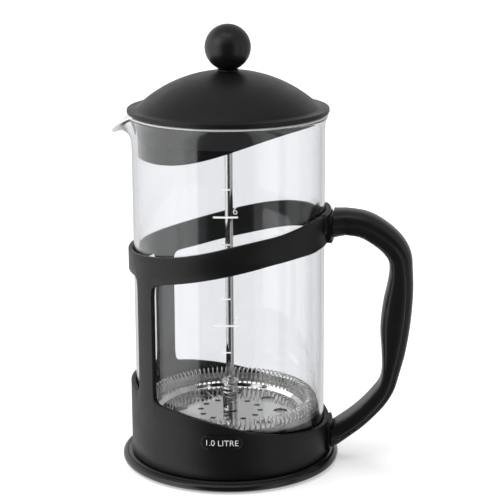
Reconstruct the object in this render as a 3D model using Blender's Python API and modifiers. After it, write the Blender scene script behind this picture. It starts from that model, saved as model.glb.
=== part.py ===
"""A one-litre french press: glass beaker in a moulded holder, lid, and plunger with its filter stack.

The part frame has +Z up, its origin at the centre of the foot's underside, the handle towards +X and
the spout towards -X. Every joint lies on the Z axis, so every turned piece has its origin there.
Angles round the Z axis are counted from the handle, in degrees.
"""

import math

import bmesh
import bpy
from mathutils import Matrix, Vector

MM = 0.001
GAP = 0.3 * MM
STEPS = 48

# Holder: a base cup and a slanted band on two struts, in one moulding
FRAME_R = 51.2 * MM
FRAME_WALL = 2.4 * MM
FRAME_Z = 5.5 * MM
FLOOR_TOP = 7.0 * MM
BASE_EDGE_MEAN = 32.6 * MM
BASE_EDGE_SLANT = -10.4 * MM
BAND_LOW_MEAN = 108.0 * MM
BAND_LOW_SLANT = 10.8 * MM
BAND_LOW_AT_SPOUT = 102.3 * MM
BAND_TOP_MEAN = 121.5 * MM
BAND_TOP_SLANT = 9.5 * MM
STRUT_NEAR = 31.5
STRUT_FAR = 46.5
FILLET = 4.0 * MM

# Foot
FOOT_R = 56.0 * MM
FOOT_H = 5.2 * MM
FOOT_BEAD = 1.6 * MM

# Handle, its seats on the holder, and its screws
SEAT_R = 53.2 * MM
SEAT_HALF_ANGLE = 18.0
UPPER_SEAT_Z = (116.5 * MM, 132.6 * MM)
LOWER_SEAT_Z = (6.2 * MM, 21.2 * MM)
UPPER_SCREW_Z = 125.0 * MM
LOWER_SCREW_Z = 13.2 * MM
SCREW_R = 1.5 * MM
SCREW_HEAD_R = 2.6 * MM
SCREW_LENGTH = 9.5 * MM
# Stations down the middle of the handle: x, z, thickness in its plane, width across it, in mm
HANDLE_STATIONS = (
    (45.0, 124.6, 15.6, 33.0),
    (53.4, 125.1, 15.1, 30.0),
    (57.0, 125.8, 13.8, 21.5),
    (60.0, 126.1, 13.2, 18.5),
    (68.2, 124.8, 13.2, 16.5),
    (75.6, 120.9, 13.2, 16.0),
    (82.4, 115.2, 12.8, 16.0),
    (86.4, 108.8, 12.2, 16.5),
    (87.4, 101.6, 12.0, 17.0),
    (87.1, 93.0, 13.6, 18.0),
    (86.0, 83.5, 15.1, 18.5),
    (84.8, 71.2, 15.2, 18.5),
    (84.1, 58.8, 12.4, 17.5),
    (82.9, 48.2, 9.4, 16.5),
    (80.9, 40.2, 8.8, 16.0),
    (76.9, 33.7, 9.3, 16.0),
    (71.6, 27.6, 9.4, 16.0),
    (65.4, 21.8, 9.7, 16.5),
    (58.6, 16.6, 11.0, 18.5),
    (55.8, 14.8, 11.6, 21.5),
    (52.4, 12.9, 12.4, 29.0),
    (45.0, 10.2, 12.8, 33.0),
)

# Beaker
GLASS_R = 48.5 * MM
GLASS_WALL = 2.2 * MM
GLASS_BOTTOM = 7.3 * MM
GLASS_CORNER = 5.0 * MM
SPOUT_ANGLE = 180.0
SPOUT_HALF_WIDTH = 27.0
# The outer side of the lip, upwards, as radius and height in mm: round the rim, and through the spout
RIM_PROFILE = (
    (48.5, 160.0), (48.5, 164.5), (48.5, 168.0), (48.5, 171.0), (48.55, 173.6),
    (48.7, 175.8), (48.95, 177.8), (49.3, 179.6), (49.6, 180.8),
)
SPOUT_PROFILE = (
    (48.5, 160.0), (48.6, 164.3), (48.9, 167.2), (49.7, 169.3), (51.1, 170.9),
    (52.9, 171.9), (54.8, 172.2), (56.8, 171.9), (58.7, 171.6),
)

# Lid
DOME_SPHERE_R = 66.8 * MM
DOME_SPHERE_Z = 135.5 * MM
DOME_WALL = 2.0 * MM
DOME_CROWN = 201.9 * MM
LID_R = 50.6 * MM
LID_RIM_LOW = 181.6 * MM
LID_RIM_TOP = 183.9 * MM
SKIRT_R = 45.2 * MM
SKIRT_WALL = 1.6 * MM
SKIRT_TOP = 181.0 * MM
SKIRT_LOW = 160.7 * MM
SKIRT_RISE = 17.8 * MM
BUSH_R = 3.0 * MM
BUSH_TOP = 201.5 * MM
BUSH_LOW = 177.4 * MM
BUSH_FLANGE_TOP = 179.0 * MM
BUSH_FLANGE_R = 6.6 * MM
NUT_LOW = 181.3 * MM
NUT_TOP = 184.5 * MM
NUT_R = 6.4 * MM

# Plunger
KNOB_R = 11.55 * MM
KNOB_Z = 213.67 * MM
KNOB_NECK_R = 6.0 * MM
KNOB_LOW = 202.25 * MM
KNOB_HOLE_TOP = 212.0 * MM
INSERT_R = 3.0 * MM
ROD_R = 2.0 * MM
ROD_LOW = 19.6 * MM
ROD_TOP = 211.2 * MM
BORE_R = ROD_R + GAP
COLLAR_LOW = 35.2 * MM
COLLAR_TOP = 41.3 * MM
HUB_R = 3.85 * MM
HUB_LOW = 25.4 * MM
PLATE_TOP = 25.0 * MM
PLATE_WALL = 0.5 * MM
MESH_LOW = 23.7 * MM
MESH_R = 45.9 * MM
MESH_EDGE = 32.3 * MM
MESH_WALL = 0.35 * MM
CROSS_TOP = 23.3 * MM
CROSS_R = 37.0 * MM
CROSS_WALL = 0.6 * MM
CROSS_NUT_R = 4.0 * MM
CROSS_NUT_FLANGE_R = 6.0 * MM
COIL_R = 42.0 * MM
COIL_Z = 31.2 * MM
COIL_WIRE_R = 0.4 * MM
COIL_TUBE_R = 2.7 * MM
COIL_TURNS = 36

# Badge on the base
BADGE_ANGLE = -90.0
BADGE_Z = 25.4 * MM
BADGE_LENGTH = 20.8 * MM
BADGE_HEIGHT = 7.6 * MM
BADGE_THICK = 0.5 * MM


# Scene, collections and materials

def clear_scene():
    for obj in list(bpy.data.objects):
        bpy.data.objects.remove(obj, do_unlink=True)


def new_collection(name):
    collection = bpy.data.collections.new(name)
    bpy.context.scene.collection.children.link(collection)
    return collection


def new_material(name, colour, roughness, metallic=0.0, transmission=0.0):
    material = bpy.data.materials.new(name)
    material.use_nodes = True
    shader = material.node_tree.nodes["Principled BSDF"]
    shader.inputs["Base Color"].default_value = (*colour, 1.0)
    shader.inputs["Roughness"].default_value = roughness
    shader.inputs["Metallic"].default_value = metallic
    shader.inputs["Transmission Weight"].default_value = transmission
    return material


def black_plastic(name, roughness=0.42):
    return new_material(name, (0.012, 0.012, 0.013), roughness)


def bright_steel(name, roughness=0.12):
    return new_material(name, (0.62, 0.61, 0.59), roughness, metallic=1.0)


# Objects

def new_object(name, mesh, collection, parent=None, location=(0.0, 0.0, 0.0), material=None):
    obj = bpy.data.objects.new(name, mesh)
    collection.objects.link(obj)
    obj.parent = parent
    obj.location = location
    if material:
        obj.data.materials.append(material)
    return obj


def new_empty(name, collection, parent=None, z=0.0):
    empty = new_object(name, None, collection, parent, (0.0, 0.0, z))
    empty.empty_display_size = 0.02
    return empty


def bake_modifiers(obj):
    """Replaces an object's mesh and modifiers by the mesh that they make."""
    bpy.context.view_layer.update()
    evaluated = obj.evaluated_get(bpy.context.evaluated_depsgraph_get())
    mesh = bpy.data.meshes.new_from_object(evaluated)
    obj.modifiers.clear()
    obj.data = mesh


def shade_round(obj):
    obj.data.shade_smooth()
    obj.data.set_sharp_from_angle(angle=math.radians(35.0))


def add_screw(obj, steps):
    screw = obj.modifiers.new("turn", "SCREW")
    screw.angle = 2.0 * math.pi
    screw.steps = steps
    screw.render_steps = steps
    screw.use_merge_vertices = True
    screw.merge_threshold = 0.01 * MM
    screw.use_smooth_shade = True


def add_solidify(obj, thickness, offset=-1.0):
    solidify = obj.modifiers.new("wall", "SOLIDIFY")
    solidify.thickness = thickness
    solidify.offset = offset
    solidify.use_even_offset = True
    solidify.use_quality_normals = True


def add_boolean(obj, cutter, operation="DIFFERENCE"):
    boolean = obj.modifiers.new(operation.lower(), "BOOLEAN")
    boolean.operation = operation
    boolean.object = cutter
    boolean.solver = "EXACT"


def profile_mesh(name, points, closed):
    """A line of (radius, height) points in the XZ plane, for a Screw modifier to turn."""
    mesh = bpy.data.meshes.new(name)
    edges = [(i, i + 1) for i in range(len(points) - 1)]
    if closed:
        edges.append((len(points) - 1, 0))
    mesh.from_pydata([(r, 0.0, z) for r, z in points], edges, [])
    return mesh


def turned(name, points, collection, parent, material, seat=0.0, closed=True, wall=None, steps=STEPS):
    """A turned piece, with its origin on the axis at the height of its seat.

    A solid's points run down its outer side and back up its inner one. With a wall, the points are
    one open line, and the wall lies on the side towards the axis, or below.
    """
    local = [(r, z - seat) for r, z in points]
    on_axis = points[0][0] == 0.0 or points[-1][0] == 0.0
    mesh = profile_mesh(name, local, closed and not on_axis)
    obj = new_object(name, mesh, collection, parent, (0.0, 0.0, seat), material)
    add_screw(obj, steps)
    if wall:
        add_solidify(obj, wall)
    return obj


def hide_as_cutter(obj):
    obj.hide_render = True
    obj.display_type = "WIRE"
    return obj


def cylinder_cutter(name, radius, depth, centre, collection, axis="Z", segments=20):
    mesh = bpy.data.meshes.new(name)
    bm = bmesh.new()
    bmesh.ops.create_cone(bm, cap_ends=True, segments=segments, radius1=radius, radius2=radius, depth=depth)
    if axis == "X":
        bmesh.ops.rotate(bm, verts=bm.verts, matrix=Matrix.Rotation(math.pi / 2.0, 3, "Y"))
    bm.to_mesh(mesh)
    bm.free()
    return hide_as_cutter(new_object(name, mesh, collection, None, centre))


def ring_of_holes(name, radius, ring_radius, count, z, collection, turn=0.0):
    """One cutter made of upright round pegs, evenly spaced on a circle."""
    mesh = bpy.data.meshes.new(name)
    bm = bmesh.new()
    for i in range(count):
        angle = 2.0 * math.pi * i / count + turn
        place = Matrix.Translation((ring_radius * math.cos(angle), ring_radius * math.sin(angle), z))
        bmesh.ops.create_cone(
            bm, cap_ends=True, segments=10, radius1=radius, radius2=radius, depth=6.0 * MM, matrix=place
        )
    bm.to_mesh(mesh)
    bm.free()
    return hide_as_cutter(new_object(name, mesh, collection))


# Sheets that lie on a cylinder: the holder's wall, the handle's seats and the badge

def on_cylinder(radius, degrees, z):
    angle = math.radians(degrees)
    return Vector((radius * math.cos(angle), radius * math.sin(angle), z))


def cylinder_sheet(name, radius, angles, rows, filled, seam):
    """A sheet of quads on a cylinder.

    rows are functions that give a height for an angle, from the lowest up. filled(row, middle) says
    whether the sheet covers the cell above that row. seam joins the last angle to the first.
    """
    bm = bmesh.new()
    grid = [[bm.verts.new(on_cylinder(radius, a, row(a))) for row in rows] for a in angles]
    spans = [(i, i + 1) for i in range(len(angles) - 1)]
    if seam:
        spans.append((len(angles) - 1, 0))
    for i, j in spans:
        after = angles[j] if j else angles[0] + 360.0
        middle = 0.5 * (angles[i] + after)
        for k in range(len(rows) - 1):
            if filled(k, middle):
                bm.faces.new((grid[i][k], grid[j][k], grid[j][k + 1], grid[i][k + 1]))
    loose = [v for v in bm.verts if not v.link_faces]
    bmesh.ops.delete(bm, geom=loose, context="VERTS")
    mesh = bpy.data.meshes.new(name)
    bm.to_mesh(mesh)
    bm.free()
    return mesh


def from_spout(degrees):
    """The angle's distance from the spout's, between 0 and 180."""
    return abs((degrees - SPOUT_ANGLE + 180.0) % 360.0 - 180.0)


def fillet_rise(degrees):
    """How far a window's corner fillet reaches from its level edge, at an angle near a strut."""
    distance = from_spout(degrees)
    if STRUT_NEAR <= distance <= STRUT_FAR:
        return FILLET
    arc = min(abs(distance - STRUT_NEAR), abs(distance - STRUT_FAR)) * math.radians(1.0) * FRAME_R
    inside = FILLET - arc
    if inside <= 0.0:
        return 0.0
    return FILLET - math.sqrt(FILLET ** 2 - inside ** 2)


def base_edge(degrees):
    return BASE_EDGE_MEAN + BASE_EDGE_SLANT * math.cos(math.radians(degrees)) + fillet_rise(degrees)


def band_low_edge(degrees):
    slanted = BAND_LOW_MEAN + BAND_LOW_SLANT * math.cos(math.radians(degrees))
    level = BAND_LOW_AT_SPOUT if from_spout(degrees) < 0.5 * (STRUT_NEAR + STRUT_FAR) else slanted
    return level - fillet_rise(degrees)


def band_top_edge(degrees):
    angle = math.radians(degrees)
    return BAND_TOP_MEAN + BAND_TOP_SLANT * (math.cos(angle) - 0.1 * math.cos(3.0 * angle))


def frame_angles():
    """Even steps round the holder, with closer ones through each window's corner fillets."""
    fillet_angle = math.degrees(FILLET / FRAME_R)
    special = []
    for side in (-1.0, 1.0):
        for edge, away in ((STRUT_NEAR, -1.0), (STRUT_FAR, 1.0)):
            for share in (0.0, 0.12, 0.45, 1.0):
                special.append((SPOUT_ANGLE + side * (edge + away * share * fillet_angle)) % 360.0)
    even = [360.0 * i / STEPS for i in range(STEPS)]
    clear_of = 1.5
    kept = [a for a in even if min(abs(a - s) for s in special) > clear_of]
    return sorted(kept + special)


# The holder

def in_strut(degrees):
    return STRUT_NEAR < from_spout(degrees) < STRUT_FAR


def make_handle_seat(name, heights, collection):
    half = SEAT_HALF_ANGLE
    angles = [-half + 2.0 * half * i / 8 for i in range(9)]
    low, high = heights
    mid = 0.5 * (low + high)
    corner = 3.0 * MM
    straight_share = 0.7
    sunk_in_wall = 0.5 * FRAME_WALL

    def cut_corner(degrees):
        return corner * max(0.0, abs(degrees) / half - straight_share) / (1.0 - straight_share)

    rows = (lambda a: low + cut_corner(a), lambda a: mid, lambda a: high - cut_corner(a))
    mesh = cylinder_sheet(name, SEAT_R, angles, rows, lambda row, a: True, False)
    seat = new_object(name, mesh, collection)
    add_solidify(seat, SEAT_R - FRAME_R + sunk_in_wall)
    return hide_as_cutter(seat)


def make_screw_hole(name, z, collection):
    """Countersunk from inside the wall, and clear of the screw all the way through the seat."""
    inner = FRAME_R - FRAME_WALL
    narrow = SCREW_R + GAP
    wide = SCREW_HEAD_R + GAP
    sink_low = 0.4 * MM
    sink_top = 1.6 * MM
    past_wall = 8.0 * MM
    points = (
        (0.0, past_wall), (narrow, past_wall), (narrow, sink_top),
        (wide, sink_low), (wide, -3.0 * MM), (0.0, -3.0 * MM),
    )
    cutter = new_object(name, profile_mesh(name, points, False), collection)
    add_screw(cutter, 20)
    cutter.location = (inner, 0.0, z)
    cutter.rotation_euler = (0.0, math.pi / 2.0, 0.0)
    return hide_as_cutter(cutter)


def make_frame(parts, cutters, parent):
    rows = (lambda a: FRAME_Z, base_edge, band_low_edge, band_top_edge)
    mesh = cylinder_sheet(
        "frame", FRAME_R, frame_angles(), rows, lambda row, a: row != 1 or in_strut(a), True
    )
    frame = new_object("frame", mesh, parts, parent, material=black_plastic("holder_black"))
    shade_round(frame)
    add_solidify(frame, FRAME_WALL)
    floor_r = FRAME_R - 0.5 * FRAME_WALL
    floor_low = FRAME_Z + GAP
    floor = turned(
        "frame_floor", ((0.0, FLOOR_TOP), (floor_r, FLOOR_TOP), (floor_r, floor_low), (0.0, floor_low)),
        cutters, None, None,
    )
    hide_as_cutter(floor)
    add_boolean(frame, floor, "UNION")
    add_boolean(frame, make_handle_seat("upper_seat", UPPER_SEAT_Z, cutters), "UNION")
    add_boolean(frame, make_handle_seat("lower_seat", LOWER_SEAT_Z, cutters), "UNION")
    add_boolean(frame, make_screw_hole("upper_screw_hole", UPPER_SCREW_Z, cutters))
    add_boolean(frame, make_screw_hole("lower_screw_hole", LOWER_SCREW_Z, cutters))
    return frame


def make_foot(parts, parent):
    """A disc with a rounded bead round its edge, and a shallow groove between bead and wall."""
    bead_r = FOOT_R - FOOT_BEAD
    shoulder = 0.25 * FOOT_BEAD
    groove_low = FOOT_H - 0.6 * MM
    bead_top = FOOT_H - 0.3 * MM
    points = (
        (0.0, FOOT_H), (bead_r - 2.2 * MM, FOOT_H), (bead_r - 1.2 * MM, groove_low), (bead_r, bead_top),
        (FOOT_R - shoulder, bead_top - 0.55 * FOOT_BEAD), (FOOT_R, 1.5 * FOOT_BEAD),
        (FOOT_R - shoulder, 0.5 * FOOT_BEAD), (bead_r, 0.0), (0.0, 0.0),
    )
    return turned("foot", points, parts, parent, black_plastic("foot_black", 0.25))


def make_badge(parts, parent):
    """A pill-shaped plate, bent to the holder's wall."""
    end_r = 0.5 * BADGE_HEIGHT
    straight = 0.5 * BADGE_LENGTH - end_r
    per_degree = math.radians(1.0) * FRAME_R
    turns = [math.radians(15.0 * i) for i in range(1, 7)]
    arcs = [straight + end_r * math.cos(t) for t in turns]
    arcs += [straight * i / 3 for i in (1, 2)]
    spans = sorted([-s for s in arcs] + [0.0] + arcs)
    angles = [BADGE_ANGLE + s / per_degree for s in spans]

    def half_height(degrees):
        beyond = abs(degrees - BADGE_ANGLE) * per_degree - straight
        if beyond <= 0.0:
            return end_r
        return math.sqrt(max(0.0, end_r ** 2 - beyond ** 2))

    mesh = cylinder_sheet(
        "capacity_badge", FRAME_R + GAP + BADGE_THICK, angles,
        (lambda a: BADGE_Z - half_height(a), lambda a: BADGE_Z + half_height(a)),
        lambda row, a: True, False,
    )
    badge = new_object("capacity_badge", mesh, parts, parent, material=black_plastic("badge_black", 0.3))
    add_solidify(badge, BADGE_THICK)
    return badge


# The handle

def smooth_stations(stations, per_span):
    """Points on a Catmull-Rom curve through the stations, with their thickness and width."""
    rows = [Vector(row) for row in stations]
    result = []
    for i in range(len(rows) - 1):
        before = rows[max(i - 1, 0)]
        after = rows[min(i + 2, len(rows) - 1)]
        a, b = rows[i], rows[i + 1]
        for step in range(per_span):
            t = step / per_span
            tangent_a = 0.5 * (b - before)
            tangent_b = 0.5 * (after - a)
            result.append(
                (2 * t ** 3 - 3 * t ** 2 + 1) * a + (t ** 3 - 2 * t ** 2 + t) * tangent_a
                + (3 * t ** 2 - 2 * t ** 3) * b + (t ** 3 - t ** 2) * tangent_b
            )
    result.append(rows[-1])
    return result


def handle_section(thickness, width, sides):
    """A rounded rectangle, flatter on the side towards the beaker: (out, across) pairs."""
    pairs = []
    for i in range(sides):
        angle = 2.0 * math.pi * (i + 0.5) / sides
        c, s = math.cos(angle), math.sin(angle)
        power = 0.72 if c > 0.0 else 0.5
        out = math.copysign(abs(c) ** power, c) * 0.5 * thickness
        across = math.copysign(abs(s) ** 0.62, s) * 0.5 * width
        pairs.append((out, across))
    return pairs


def make_handle(parts, cutters, parent):
    """A loft down the handle's stations, trimmed to the seats that it is screwed to."""
    stations = smooth_stations([[v * MM for v in row] for row in HANDLE_STATIONS], 2)
    sides = 12
    bm = bmesh.new()
    rings = []
    for i, (x, z, thickness, width) in enumerate(stations):
        before = stations[max(i - 1, 0)]
        after = stations[min(i + 1, len(stations) - 1)]
        along = Vector((after[0] - before[0], 0.0, after[1] - before[1])).normalized()
        outward = Vector((-along.z, 0.0, along.x))
        centre = Vector((x, 0.0, z))
        ring = []
        for out, across in handle_section(thickness, width, sides):
            ring.append(bm.verts.new(centre + outward * out + Vector((0.0, across, 0.0))))
        rings.append(ring)
    for near, far in zip(rings, rings[1:]):
        for k in range(sides):
            n = (k + 1) % sides
            bm.faces.new((near[k], near[n], far[n], far[k]))
    bm.faces.new(list(reversed(rings[0])))
    bm.faces.new(rings[-1])
    bmesh.ops.recalc_face_normals(bm, faces=bm.faces)
    mesh = bpy.data.meshes.new("handle")
    bm.to_mesh(mesh)
    bm.free()
    handle = new_object("handle", mesh, parts, parent, material=black_plastic("handle_black"))
    shade_round(handle)
    middle = (0.0, 0.0, 70.0 * MM)
    trim = cylinder_cutter("handle_trim", SEAT_R + GAP, 180.0 * MM, middle, cutters, segments=96)
    add_boolean(handle, trim)
    depth = SCREW_LENGTH
    for name, z in (("upper_pilot", UPPER_SCREW_Z), ("lower_pilot", LOWER_SCREW_Z)):
        centre = (FRAME_R - FRAME_WALL + 0.5 * depth + 1.0 * MM, 0.0, z)
        add_boolean(handle, cylinder_cutter(name, SCREW_R + GAP, depth, centre, cutters, "X"))
    return handle


def make_handle_screw(name, z, parts, parent):
    """A countersunk screw, driven outwards from inside the wall."""
    head_low = -0.5 * SCREW_LENGTH
    points = (
        (0.0, 0.5 * SCREW_LENGTH), (0.7 * SCREW_R, 0.5 * SCREW_LENGTH), (SCREW_R, 0.4 * SCREW_LENGTH),
        (SCREW_R, head_low + 1.4 * MM), (SCREW_HEAD_R, head_low + 0.3 * MM),
        (SCREW_HEAD_R, head_low), (0.0, head_low),
    )
    material = bright_steel(name + "_steel", 0.3)
    screw = turned(name, points, parts, parent, material, steps=16)
    screw.location = (FRAME_R - FRAME_WALL + 0.1 * MM + 0.5 * SCREW_LENGTH, 0.0, z)
    screw.rotation_euler = (0.0, math.pi / 2.0, 0.0)
    return screw


# The beaker

def spout_share(degrees):
    """How far the lip has turned from the plain rim, 0, into the spout, 1."""
    share = 1.0 - from_spout(degrees) / SPOUT_HALF_WIDTH
    return 0.0 if share <= 0.0 else math.sin(0.5 * math.pi * share) ** 2.4


def make_beaker(parts, parent):
    """The outer surface is turned, its lip is pulled into the spout, and the wall is grown inwards."""
    corner = [math.radians(90.0 - 22.5 * i) for i in range(5)]
    centre_r = GLASS_R - GLASS_CORNER
    centre_z = GLASS_BOTTOM + GLASS_CORNER
    lip = [(r * MM, z * MM) for r, z in reversed(RIM_PROFILE)]
    points = lip + [(GLASS_R, 0.5 * (centre_z + lip[-1][1])), (GLASS_R, centre_z)]
    for angle in corner[1:]:
        points.append((centre_r + GLASS_CORNER * math.sin(angle), centre_z - GLASS_CORNER * math.cos(angle)))
    points.append((0.0, GLASS_BOTTOM))
    glass = new_material("beaker_glass", (0.95, 0.97, 0.97), 0.02, transmission=1.0)
    beaker = turned("beaker", points, parts, parent, glass, seat=GLASS_BOTTOM)
    bake_modifiers(beaker)
    heights = [z * MM - GLASS_BOTTOM for _, z in RIM_PROFILE]
    for vertex in beaker.data.vertices:
        level = min(range(len(heights)), key=lambda i: abs(heights[i] - vertex.co.z))
        degrees = math.degrees(math.atan2(vertex.co.y, vertex.co.x))
        share = spout_share(degrees)
        if abs(heights[level] - vertex.co.z) > 0.1 * MM or share == 0.0:
            continue
        r = RIM_PROFILE[level][0] + share * (SPOUT_PROFILE[level][0] - RIM_PROFILE[level][0])
        z = RIM_PROFILE[level][1] + share * (SPOUT_PROFILE[level][1] - RIM_PROFILE[level][1])
        vertex.co = on_cylinder(r * MM, degrees, z * MM - GLASS_BOTTOM)
    add_solidify(beaker, GLASS_WALL)
    return beaker


# The lid

def dome_height(r, sphere_r):
    return DOME_SPHERE_Z + math.sqrt(sphere_r ** 2 - r ** 2)


def make_lid_dome(parts, parent):
    inner_sphere = DOME_SPHERE_R - DOME_WALL
    hole = BUSH_R + GAP + 0.1 * MM
    foot_r = 45.9 * MM
    crown_r = 7.0 * MM
    inner_r = 45.0 * MM
    spans = 6
    outer_radii = [crown_r + (foot_r - crown_r) * i / spans for i in range(1, spans + 1)]
    inner_radii = [inner_r + (crown_r - inner_r) * i / spans for i in range(spans + 1)]
    points = [(hole, DOME_CROWN), (crown_r, DOME_CROWN)]
    points += [(r, dome_height(r, DOME_SPHERE_R)) for r in outer_radii]
    points += [
        (LID_R - 0.4 * MM, LID_RIM_TOP), (LID_R, LID_RIM_TOP - 0.4 * MM), (LID_R, LID_RIM_LOW + 0.4 * MM),
        (LID_R - 0.4 * MM, LID_RIM_LOW), (foot_r, LID_RIM_LOW),
    ]
    points += [(r, dome_height(r, inner_sphere)) for r in inner_radii]
    points.append((hole, dome_height(crown_r, inner_sphere)))
    return turned("lid_dome", points, parts, parent, black_plastic("lid_black"), seat=LID_RIM_LOW)


def skirt_edge(degrees):
    """The slanted lower edge: deep and level at the spout, nearly nothing at the handle."""
    t = (math.cos(math.radians(degrees)) + 0.75) / 1.8
    t = min(max(t, 0.0), 1.0)
    return SKIRT_LOW + SKIRT_RISE * t * t * (3.0 - 2.0 * t)


def make_lid_skirt(parts, parent):
    """An inner lid: a disc under the dome and a slanted skirt that closes or opens the spout."""
    corner = 1.3 * MM
    levels = 4
    points = [(BUSH_R + 2.0 * GAP, SKIRT_TOP), (SKIRT_R - corner, SKIRT_TOP), (SKIRT_R, SKIRT_TOP - corner)]
    wall_top = SKIRT_TOP - corner
    points += [(SKIRT_R, wall_top + (SKIRT_LOW - wall_top) * i / levels) for i in range(1, levels + 1)]
    skirt = turned(
        "lid_skirt", points, parts, parent, black_plastic("skirt_black"), seat=SKIRT_TOP, closed=False
    )
    bake_modifiers(skirt)
    for vertex in skirt.data.vertices:
        depth = -corner - vertex.co.z
        if depth > 0.01 * MM:
            degrees = math.degrees(math.atan2(vertex.co.y, vertex.co.x))
            share = (wall_top - skirt_edge(degrees)) / (wall_top - SKIRT_LOW)
            vertex.co.z = -corner - depth * share
    add_solidify(skirt, SKIRT_WALL)
    return skirt


def make_lid_bush(parts, parent):
    """A flanged sleeve that the rod slides through and the lid turns round."""
    points = (
        (BUSH_R, BUSH_TOP), (BUSH_R, BUSH_FLANGE_TOP), (BUSH_FLANGE_R, BUSH_FLANGE_TOP),
        (BUSH_FLANGE_R, BUSH_LOW), (BORE_R, BUSH_LOW), (BORE_R, BUSH_TOP),
    )
    material = new_material("bush_plastic", (0.03, 0.03, 0.03), 0.5)
    return turned("lid_bush", points, parts, parent, material, seat=BUSH_FLANGE_TOP, steps=16)


def make_bush_nut(parts, parent):
    """A six-sided nut round the sleeve, above the inner lid's disc."""
    hole = (BUSH_R + GAP) / math.cos(math.pi / 6.0)
    points = ((hole, NUT_TOP), (NUT_R, NUT_TOP), (NUT_R, NUT_LOW), (hole, NUT_LOW))
    return turned("bush_nut", points, parts, parent, bright_steel("nut_steel", 0.3), seat=NUT_LOW, steps=6)


# The plunger

def make_knob(parts, parent):
    neck_r = 4.6 * MM
    low_angle = math.pi - math.asin(neck_r / KNOB_R)
    arc = [low_angle * i / 10 for i in range(11)]
    points = [(KNOB_R * math.sin(a), KNOB_Z + KNOB_R * math.cos(a)) for a in arc]
    hole = INSERT_R + GAP
    points += [
        (KNOB_NECK_R, KNOB_LOW), (hole, KNOB_LOW), (hole, KNOB_HOLE_TOP), (0.0, KNOB_HOLE_TOP),
    ]
    return turned("knob", points, parts, parent, black_plastic("knob_black", 0.35), seat=KNOB_Z, steps=24)


def make_tube(name, outer_points, parts, parent, material):
    """A turned piece with a straight bore for the rod."""
    top = outer_points[0][1]
    low = outer_points[-1][1]
    points = list(outer_points) + [(BORE_R, low), (BORE_R, top)]
    return turned(name, points, parts, parent, material, seat=low, steps=16)


def make_rod_pieces(parts, parent):
    turned(
        "plunger_rod",
        (
            (0.0, ROD_TOP), (0.8 * ROD_R, ROD_TOP), (ROD_R, ROD_TOP - 0.4 * MM),
            (ROD_R, ROD_LOW + 0.4 * MM), (0.8 * ROD_R, ROD_LOW), (0.0, ROD_LOW),
        ),
        parts, parent, bright_steel("rod_steel", 0.08), seat=ROD_LOW, steps=16,
    )
    brass = new_material("insert_brass", (0.62, 0.45, 0.18), 0.3, metallic=1.0)
    insert_top = KNOB_HOLE_TOP - GAP
    insert_low = KNOB_LOW + 0.6 * MM
    make_tube("knob_insert", ((INSERT_R, insert_top), (INSERT_R, insert_low)), parts, parent, brass)
    collar = (
        (4.5 * MM, COLLAR_TOP), (4.7 * MM, COLLAR_TOP - 0.6 * MM), (3.7 * MM, COLLAR_TOP - 2.0 * MM),
        (3.5 * MM, COLLAR_TOP - 3.1 * MM), (4.2 * MM, COLLAR_LOW + 1.8 * MM),
        (4.4 * MM, COLLAR_LOW + 0.6 * MM), (4.2 * MM, COLLAR_LOW),
    )
    make_tube("rod_collar", collar, parts, parent, bright_steel("collar_steel", 0.15))
    hub_top = COLLAR_LOW - GAP
    hub = ((HUB_R, hub_top), (HUB_R, HUB_LOW))
    make_tube("plate_hub", hub, parts, parent, bright_steel("hub_steel", 0.2))
    nut_top = CROSS_TOP - CROSS_WALL - GAP
    flange_low = nut_top - 1.0 * MM
    nut = (
        (CROSS_NUT_FLANGE_R, nut_top), (CROSS_NUT_FLANGE_R, flange_low), (CROSS_NUT_R, flange_low - 0.2 * MM),
        (CROSS_NUT_R, ROD_LOW - 0.6 * MM),
    )
    make_tube("cross_plate_nut", nut, parts, parent, bright_steel("cross_nut_steel", 0.25))


def make_filter_plates(parts, cutters, parent):
    hole = BORE_R + 0.1 * MM
    plate = (
        (44.6 * MM, 27.5 * MM), (39.4 * MM, 27.1 * MM), (38.5 * MM, 26.7 * MM), (36.6 * MM, PLATE_TOP),
        (hole, PLATE_TOP),
    )
    spiral = turned(
        "spiral_plate", plate[::-1], parts, parent, bright_steel("plate_steel"), seat=PLATE_TOP,
        closed=False, wall=PLATE_WALL,
    )
    holes = ring_of_holes("spiral_plate_holes", 4.0 * MM, 26.0 * MM, 8, PLATE_TOP, cutters)
    add_boolean(spiral, holes)
    mesh_points = (
        (MESH_R, MESH_EDGE), (MESH_R, 27.2 * MM), (44.8 * MM, 26.1 * MM), (38.9 * MM, 25.5 * MM),
        (36.7 * MM, MESH_LOW), (hole, MESH_LOW),
    )
    gauze = new_material("gauze_steel", (0.45, 0.44, 0.42), 0.45, metallic=1.0)
    turned(
        "mesh_filter", mesh_points, parts, parent, gauze, seat=MESH_LOW, closed=False,
        wall=MESH_WALL,
    )
    cross = turned(
        "cross_plate", ((hole, CROSS_TOP), (CROSS_R, CROSS_TOP)), parts, parent,
        bright_steel("cross_steel", 0.2), seat=CROSS_TOP, closed=False, wall=CROSS_WALL,
    )
    add_boolean(cross, ring_of_holes("cross_plate_holes", 7.5 * MM, 20.0 * MM, 6, CROSS_TOP, cutters))


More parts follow.
